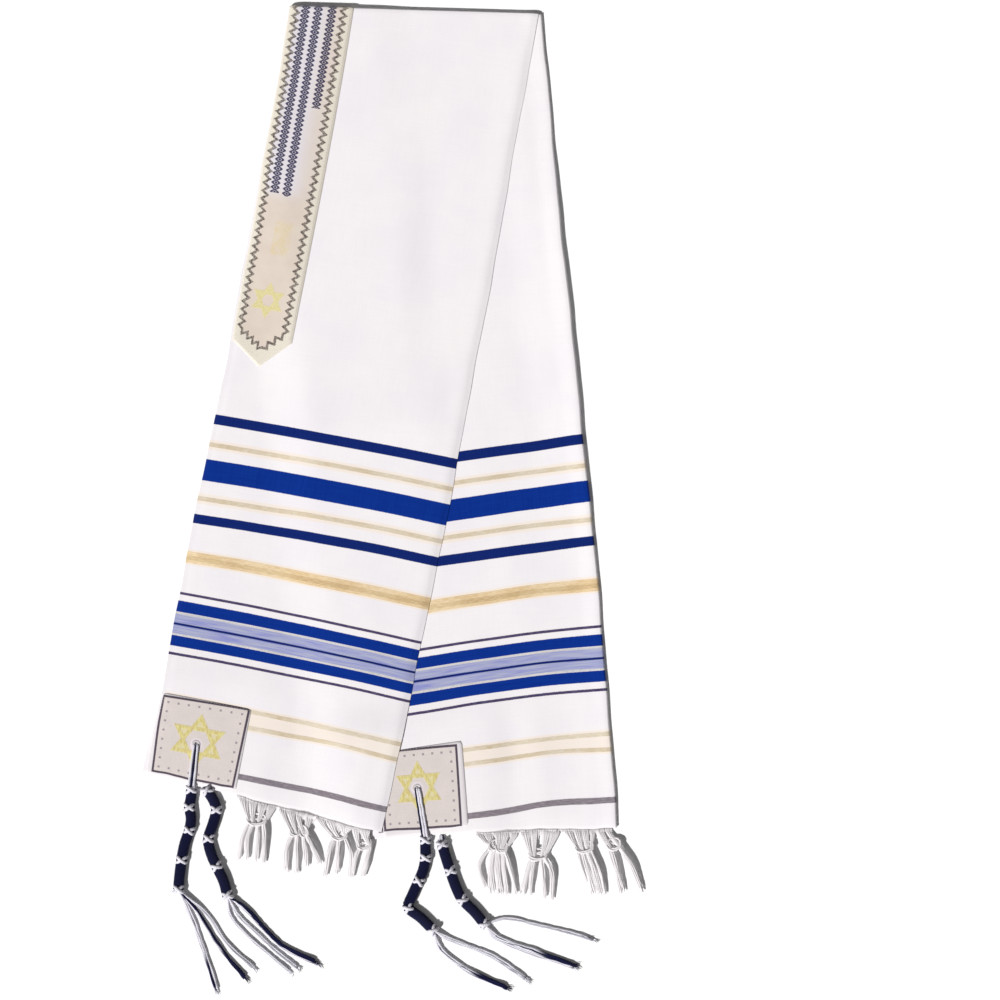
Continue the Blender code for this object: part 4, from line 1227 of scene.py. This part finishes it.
class Graph:
    """Adds nodes to a material's or a group's tree and links them."""

    def __init__(self, tree):
        self.tree = tree

    def put(self, socket, value):
        if isinstance(value, Value):
            self.tree.links.new(value.socket, socket)
        else:
            socket.default_value = value

    def add(self, kind, *values, output=0, **settings):
        made = set_all(self.tree.nodes.new(kind), **settings)
        for socket, value in zip(made.inputs, values):
            self.put(socket, value)
        return Value(self, made.outputs[output])

    def mix(self, share, first, second):
        made = set_all(self.tree.nodes.new("ShaderNodeMix"), data_type="RGBA")
        for index, value in ((0, share), (6, first), (7, second)):
            self.put(made.inputs[index], value)
        return Value(self, made.outputs[2])

    def separate(self, vector):
        made = self.tree.nodes.new("ShaderNodeSeparateXYZ")
        self.put(made.inputs[0], vector)
        return Value(self, made.outputs[0]), Value(self, made.outputs[1])

    def combine(self, x, y):
        return self.add("ShaderNodeCombineXYZ", x, y, 0.0)

    def noise(self, place, scale, detail=3.0, rough=0.5):
        made = self.tree.nodes.new("ShaderNodeTexNoise")
        for name, value in (("Vector", place), ("Scale", scale), ("Detail", detail), ("Roughness", rough)):
            self.put(made.inputs[name], value)
        return Value(self, made.outputs[0])

    def grain(self, x, y, across, along, detail=3.0, rough=0.5):
        """Noise with this many grains a metre across and along."""
        return self.noise(self.combine(x * across, y * along), 1.0, detail, rough)

    def use(self, group, **values):
        made = set_all(self.tree.nodes.new("ShaderNodeGroup"), node_tree=group)
        for name, value in values.items():
            self.put(made.inputs[name.capitalize()], value)
        return [Value(self, socket) for socket in made.outputs]


def new_group(name, inputs, outputs):
    """A group's graph and the values that it is given.  Strip and Place are vectors, all others numbers."""
    tree = bpy.data.node_groups.new(name, "ShaderNodeTree")
    for label in inputs:
        kind = "NodeSocketVector" if label in ("Strip", "Place") else "NodeSocketFloat"
        tree.interface.new_socket(label, in_out="INPUT", socket_type=kind)
    for label in outputs:
        tree.interface.new_socket(label, in_out="OUTPUT", socket_type="NodeSocketFloat")
    graph = Graph(tree)
    given = tree.nodes.new("NodeGroupInput").outputs
    return graph, [Value(graph, given[label]) for label in inputs]


def close_group(graph, *values):
    result = graph.tree.nodes.new("NodeGroupOutput")
    for socket, value in zip(result.inputs, values):
        graph.put(socket, value)
    return graph.tree


def make_weave_group():
    """Plain weave with uneven yarns.  Strip is the place on the cloth, in metres."""
    graph, (strip, pitch, slub) = new_group("plain_weave", ("Strip", "Pitch", "Slub"), ("Height", "Tone"))
    x, y = graph.separate(strip)
    turn = graph.add("ShaderNodeMath", 2 * math.pi, pitch, operation="DIVIDE")
    crossing = (x * turn).sine() * (y * turn).sine()
    tone = (graph.grain(x, y, 30.0, 620.0) + graph.grain(x, y, 620.0, 30.0)) * 0.5
    return close_group(graph, crossing * 0.3 + tone * slub, tone)


def make_stripe_group():
    """1 on a woven stripe and 0 beside it, with edges as ragged as the yarns are thick."""
    graph, (along, centre, width) = new_group("woven_stripe", ("Along", "Centre", "Width"), ("Mask",))
    return close_group(graph, on_line(abs(along - centre), width, outside=0.0004))


def make_star_group():
    """A six-pointed star of two triangles: its lines and the inside of its points."""
    graph, (spot, radius, line) = new_group("six_pointed_star", ("Place", "Radius", "Line"),
                                            ("Lines", "Points"))
    x, y = graph.separate(spot)
    lean, rise = x * math.sqrt(0.75), y * 0.5
    sides = (y * -1.0, rise + lean, rise - lean)
    edges = (largest(*sides) - radius * 0.5, smallest(*sides) * -1.0 - radius * 0.5)
    lines = largest(*(on_line(abs(edge), line, inside=0.0003) for edge in edges))
    up, down = (edge.span(0.0003, -0.0003) for edge in edges)
    return close_group(graph, lines, abs(up - down))


WEAVE = make_weave_group()
STRIPE = make_stripe_group()
STAR = make_star_group()


def new_material(name, roughness, sheen=0.0):
    made = bpy.data.materials.new(name)
    made.use_nodes = True
    shader = made.node_tree.nodes["Principled BSDF"].inputs
    for socket, value in (("Metallic", 0.0), ("Roughness", roughness), ("Sheen Weight", sheen),
                          ("Sheen Roughness", 0.6), ("Specular IOR Level", 0.08)):
        shader[socket].default_value = value
    return made, Graph(made.node_tree), shader


def new_woven(name, roughness, slub, sheen=0.02):
    """A woven material, with its place on the strip and the weave's height and tone."""
    made, graph, shader = new_material(name, roughness, sheen)
    strip = graph.add("ShaderNodeUVMap", uv_map="strip")
    x, y = graph.separate(strip)
    height, tone = graph.use(WEAVE, strip=strip, pitch=0.0006, slub=slub)
    return made, graph, shader, strip, x, y, height, tone


def finish_material(graph, shader, colour, height, reach):
    """Link the colour, and the height as a bump of this reach in metres."""
    bump = graph.tree.nodes.new("ShaderNodeBump")
    bump.inputs["Strength"].default_value = 1.0
    bump.inputs["Distance"].default_value = reach
    graph.put(bump.inputs["Height"], height)
    graph.tree.links.new(bump.outputs[0], shader["Normal"])
    graph.put(shader["Base Color"], colour)


def make_cloth_material():
    made, graph, shader, strip, x, y, weave, yarn = new_woven("woven_striped_cloth", 0.85, 0.9)
    along = (graph.grain(x, y, 900.0, 60.0, 2.0) - 0.5) * 0.0007 + y
    tone = graph.noise(strip, 14.0, 3.0, 0.55).span(0.3, 0.7)
    yarn = yarn.span(0.35, 0.65)
    fleck = graph.grain(x, y, 160.0, 1100.0, 3.0, 0.6).span(0.42, 0.62)
    patchy = graph.grain(x, y, 22.0, 55.0, 2.0).span(0.35, 0.65)
    streak = graph.grain(x, y, 25.0, 900.0, 2.0, 0.6).span(0.38, 0.62)
    cloth = graph.mix(tone, screen(243, 238, 243), screen(247, 243, 244))
    cloth = graph.mix(yarn * 0.2, cloth, screen(232, 227, 232))
    shares = {"tone": tone, "yarn": yarn, "dye": yarn * 0.5, "fleck": fleck,
              "metal": (fleck + patchy) * 0.5, "streak": streak * (patchy * 0.5 + 0.5)}
    yarns = {kind: graph.mix(shares[share], screen(*first), screen(*second))
             for kind, (share, first, second) in YARNS.items()}
    colour, gold, thick = cloth, 0.0, 0.0
    for middle, width, kind in STRIPES:
        mask, = graph.use(STRIPE, along=along, centre=middle * MM, width=width * MM)
        colour = graph.mix(mask, colour, yarns[kind])
        if "gold" in kind:
            gold = largest(mask, gold)
        if kind in ("gold", "wide_gold", "hem"):
            thick = largest(mask, thick)
    at_edge = largest(x.span(0.496, 0.500), x.span(0.0050, 0.0035))
    colour = graph.mix(at_edge * y.span(0.735, 0.745), colour, cloth)
    # Painted shade: along the open edge of the upper layer the cloth is blended a little towards dark grey,
    # as the shade where that edge turns away from the light.
    colour = graph.mix(x.span(0.0065, 0.0005) * 0.08, colour, screen(60, 52, 66))
    graph.put(shader["Roughness"], gold.span(0.0, 1.0, 0.85, 0.5))
    graph.put(shader["Metallic"], gold * 0.15)
    finish_material(graph, shader, colour, weave + thick * 0.8, 0.00006)
    return made


def from_tip_edge(x, y, left, right, start):
    """Distance inside the straight edge between two corners, and the run along it from its start,
    which is stretched to whole periods of the zigzag."""
    length = math.dist(left, right)
    way_x, way_y = ((after - before) / length for before, after in zip(left, right))
    whole = round(length / ZIGZAG_PERIOD) * ZIGZAG_PERIOD / length
    x, y = x - start[0], y - start[1]
    return x * way_y - y * way_x, x * (way_x * whole) + y * (way_y * whole)


def nearer(first, second):
    """The smaller of two (distance, run) pairs."""
    return (smallest(first[0], second[0]),
            first[1] + second[0].below(first[0]) * (second[1] - first[1]))


def ornament_column(x, y, middle, finish):
    """A braid of two waving lines, with a dot in each of its eyes."""
    aside = x - middle
    swing = (y * (2 * math.pi / BRAID_PERIOD)).sine() * BRAID_REACH
    from_line = smallest(abs(aside - swing), abs(aside + swing))
    from_dot = distance(aside, (y - BRAID_PERIOD / 4).pingpong(BRAID_PERIOD / 4))
    return largest(from_line.span(0.0018, 0.0011), from_dot.span(0.0016, 0.0011)) * y.below(finish)


def emblem_panel(graph, x, y, middle_x, middle_y):
    """A faint upright panel of small crossing lines, with worn parts."""
    x, y = x - middle_x, y - middle_y
    lines = largest(*(slope.pingpong(0.0028).span(0.0015, 0.0004) for slope in (x + y, x - y)))
    window = abs(x).span(0.0112, 0.0080) * abs(y).span(0.0200, 0.0150)
    worn = graph.noise(graph.combine(x + middle_x, y + middle_y), 130.0, 2.0).span(0.3, 0.7, 0.25, 1.0)
    return (lines * 0.32 + 0.30) * worn * window


def make_band_material():
    made, graph, shader, strip, x, y, weave, _ = new_woven("jacquard_neckband", 0.7, 0.8)
    width = BAND_WIDTH * MM
    from_left, from_right = ZIGZAG_INSETS
    left = (from_left, (BAND_LEFT_END - 12.5) * MM)
    point = (width * BAND_POINT_SHARE - 0.0008, (BAND_POINT_END - 19.0) * MM)
    right = (width - from_right, (BAND_RIGHT_END - 7.5) * MM)
    sides = nearer((x - from_left, y - left[1]), ((width - from_right) - x, y - right[1]))
    inside, run = nearer(sides, nearer(from_tip_edge(x, y, left, point, point),
                                       from_tip_edge(x, y, point, right, point)))
    fleck = graph.grain(x, y, 700.0, 700.0, 2.0, 0.6)
    speckle = fleck.span(0.4, 0.62)
    wave = (run.pingpong(ZIGZAG_PERIOD / 2) - ZIGZAG_PERIOD / 4) * (4 * ZIGZAG_REACH / ZIGZAG_PERIOD)
    ragged = (fleck - 0.5) * 0.0040 + abs(inside + wave)
    line = on_line(ragged, ZIGZAG_LINE)
    field = graph.mix(graph.noise(strip, 45.0).span(0.3, 0.7), screen(220, 205, 194),
                      screen(224, 212, 199))
    field = graph.mix(y.span(0.225, 0.205) * x.span(0.052, 0.030, 0.15, 0.85), field,
                      screen(228, 224, 232))
    margin = graph.mix(speckle * 0.5, screen(233, 226, 212), screen(214, 206, 192))
    colour = graph.mix(inside.span(-0.0008, 0.0008), margin, field)
    for middle, finish in ORNAMENT_COLUMNS:
        mark = ornament_column(x, y, middle * MM, finish * MM)
        colour = graph.mix(mark * 0.92, colour, screen(30, 28, 76))
    colour = graph.mix(emblem_panel(graph, x, y, 0.0334, 0.2605), colour, screen(222, 200, 140))
    star, points = graph.use(STAR, place=graph.combine(x - 0.0312, 0.3265 - y), radius=0.0155,
                             line=0.0040)
    gold = graph.mix(speckle, screen(215, 203, 138), screen(229, 219, 166))
    colour = graph.mix(points * 0.5, colour, gold)
    colour = graph.mix(star * 0.85, colour, gold)
    dense = graph.noise(strip, 420.0, 3.0, 0.6).span(0.38, 0.62) * -0.35 + 1.0
    colour = graph.mix(line * dense, colour,
                       graph.mix(speckle * 0.7, screen(70, 60, 56), screen(140, 128, 118)))
    finish_material(graph, shader, colour, weave + (line * 0.8 + star * 0.8), 0.00008)
    return made


def dotted_frame(x, y, wide, high):
    """Small dots along a rectangle with these half sizes."""
    rows = largest((x + wide).pingpong(wide / DOT_STEPS), abs(high - abs(y)))
    columns = largest((y + high).pingpong(high / DOT_STEPS), abs(wide - abs(x)))
    reach = smallest((wide + 0.002) - abs(x), (high + 0.002) - abs(y))
    dots = on_line(smallest(rows, columns), DOT_SIZE, inside=0.0005)
    return dots * reach.math("GREATER_THAN", 0.0)


def make_patch_material(leaf, star_spot, star_radius, narrowing):
    """A woven patch, with its line, its dots and its star round this spot on the leaf."""
    made, graph, shader, strip, x, y, weave, _ = new_woven(f"woven_corner_patch_{leaf}", 0.75, 0.8)
    wide, high = (size / 2 * MM for size in LINE_SIZES[leaf])
    inside = smallest(wide - abs(x), high - abs(y))
    line = on_line(abs(inside), PATCH_LINE_WIDTH)
    speckle = graph.grain(x, y, 800.0, 800.0, 2.0, 0.6).span(0.4, 0.62)
    ground = graph.mix(graph.noise(strip, 60.0).span(0.3, 0.7), screen(222, 212, 208),
                       screen(228, 217, 213))
    ground = graph.mix(speckle * 0.3, ground, screen(196, 188, 188))
    colour = graph.mix(inside.span(-0.0004, 0.0004), screen(232, 226, 229), ground)
    dots = dotted_frame(x, y, wide - DOT_INSET, high - DOT_INSET)
    colour = graph.mix(dots * 0.7, colour, screen(118, 110, 122))
    hole, middle = patch_strip(leaf, np.array((PATCHES[leaf][2], star_spot))).tolist()
    star_place = graph.combine((x - middle[0]) * narrowing, y - middle[1])
    star, points = graph.use(STAR, place=star_place, radius=star_radius * MM, line=0.0040)
    thread = graph.grain(x, y, 420.0, 150.0, 3.0, 0.6).span(0.38, 0.62)
    yellow = screen(226, 216, 142)
    colour = graph.mix(points * 0.75, colour, graph.mix(thread, yellow, screen(224, 212, 168)))
    colour = graph.mix(star * 0.85, colour, graph.mix(thread, screen(206, 187, 116), yellow))
    from_hole = distance(x - hole[0], y - hole[1])
    colour = graph.mix(from_hole.span(0.0075, 0.0055), colour, screen(231, 221, 227))
    colour = graph.mix(line, colour, graph.mix(speckle * 0.5, screen(72, 62, 76), screen(122, 112, 122)))
    finish_material(graph, shader, colour, weave + (star + line * 0.7 + points * thread * 0.8), 0.00009)
    return made


def make_yarn_material(name, pale, shade, dark):
    """Twisted yarn; the strand's own attribute says how navy it is.  The pale yarn is painted darker in the
    grooves between its plies, as painted shade, and also at random where fibres lie loose.
    """
    made, graph, shader = new_material(name, 0.8, 0.05)
    around, run = graph.separate(graph.add("ShaderNodeUVMap", uv_map="strip"))
    navy = graph.add("ShaderNodeAttribute", attribute_name="navy", output="Fac")
    ply = ((around * 2.0 - run * 2.0) * (2 * math.pi)).sine()
    fibre = graph.noise(graph.combine((around - run) * 9.0, run * 1.3), 2.2, 3.0, 0.6)
    loose = fibre.span(0.35, 0.7)
    # Painted shade: the pale yarn turns towards its shade colour in the grooves of the twist; the loose
    # fibres add a random tone of their own.
    white = graph.mix((ply.span(-0.2, -0.95) + loose) * 0.5, screen(*pale), screen(*shade))
    dark = screen(*dark)
    deep = graph.mix(loose, dark, tuple(min(part * 1.9, 1.0) for part in dark))
    colour = graph.mix(navy.span(0.0, 1.0), white, deep)
    finish_material(graph, shader, colour, ply * 0.5 + fibre, 0.00006)
    return made


# --- the room: floor, light and camera ---

def place_in_room(name, data):
    made = bpy.data.objects.new(name, data)
    bpy.context.scene.collection.objects.link(made)
    return made


def make_floor():
    bm = bmesh.new()
    bmesh.ops.create_grid(bm, x_segments=1, y_segments=1, size=15)
    bmesh.ops.translate(bm, verts=bm.verts, vec=(0, 0, FLOOR_LEVEL))
    mesh = bpy.data.meshes.new("floor")
    bm.to_mesh(mesh)
    bm.free()
    material, _, shader = new_material("pale_floor", 0.9)
    shader["Base Color"].default_value = FLOOR_COLOUR
    mesh.materials.append(material)
    place_in_room("floor", mesh)


def make_camera():
    x, y, height = VIEW_MIDDLE
    data = set_all(bpy.data.cameras.new("camera"), sensor_width=36.0,
                   lens=36.0 * (CAMERA_HEIGHT - height) / VIEW_WIDTH, clip_start=0.1, clip_end=50.0)
    bpy.context.scene.camera = set_all(place_in_room("camera", data), location=(x, y, CAMERA_HEIGHT))


def make_light():
    data = set_all(bpy.data.lights.new("key", "SUN"), energy=KEY_POWER, angle=math.radians(KEY_SPREAD),
                   color=(1.0, 0.995, 0.985))
    rise = math.radians(KEY_RISE)
    towards = Vector((*(np.array(KEY_SIDE) * math.cos(rise)), math.sin(rise)))
    set_all(place_in_room("key", data), rotation_mode="QUATERNION",
            rotation_quaternion=towards.to_track_quat("Z", "Y"))
    room = set_all(bpy.data.worlds.new("room"), use_nodes=True)
    background = room.node_tree.nodes["Background"].inputs
    background["Color"].default_value = (0.985, 0.985, 1.0, 1)
    background["Strength"].default_value = ROOM_GLOW
    bpy.context.scene.world = room
    bpy.context.scene.view_settings.view_transform = "Standard"


# --- the shawl ---

def main():
    make_floor()
    make_camera()
    make_light()
    cloth = make_cloth_material()
    band = make_band_material()
    fringe_yarn, tassel_cord, sewing = (make_yarn_material(*yarn) for yarn in TWISTED_YARNS)
    back = make_leaf("back", cloth)
    front = make_leaf("front", cloth)
    band_shown = make_shown_band(band)
    band_hidden = make_hidden_band(band)
    make_band_stitches(sewing)
    patches = {}
    for leaf, star in STARS.items():
        material = make_patch_material(leaf, *star)
        patches[leaf] = (make_upper_patch(leaf, material), make_under_patch(leaf, material))
        make_patch_stitches(leaf, sewing)
    fringes = {node: make_fringe(node, fringe_yarn) for node in FRINGES}
    for node in TASSELS:
        make_tassel(node, tassel_cord)
    for leaf, (shown, hidden) in patches.items():
        front if leaf == "front" else back


main()
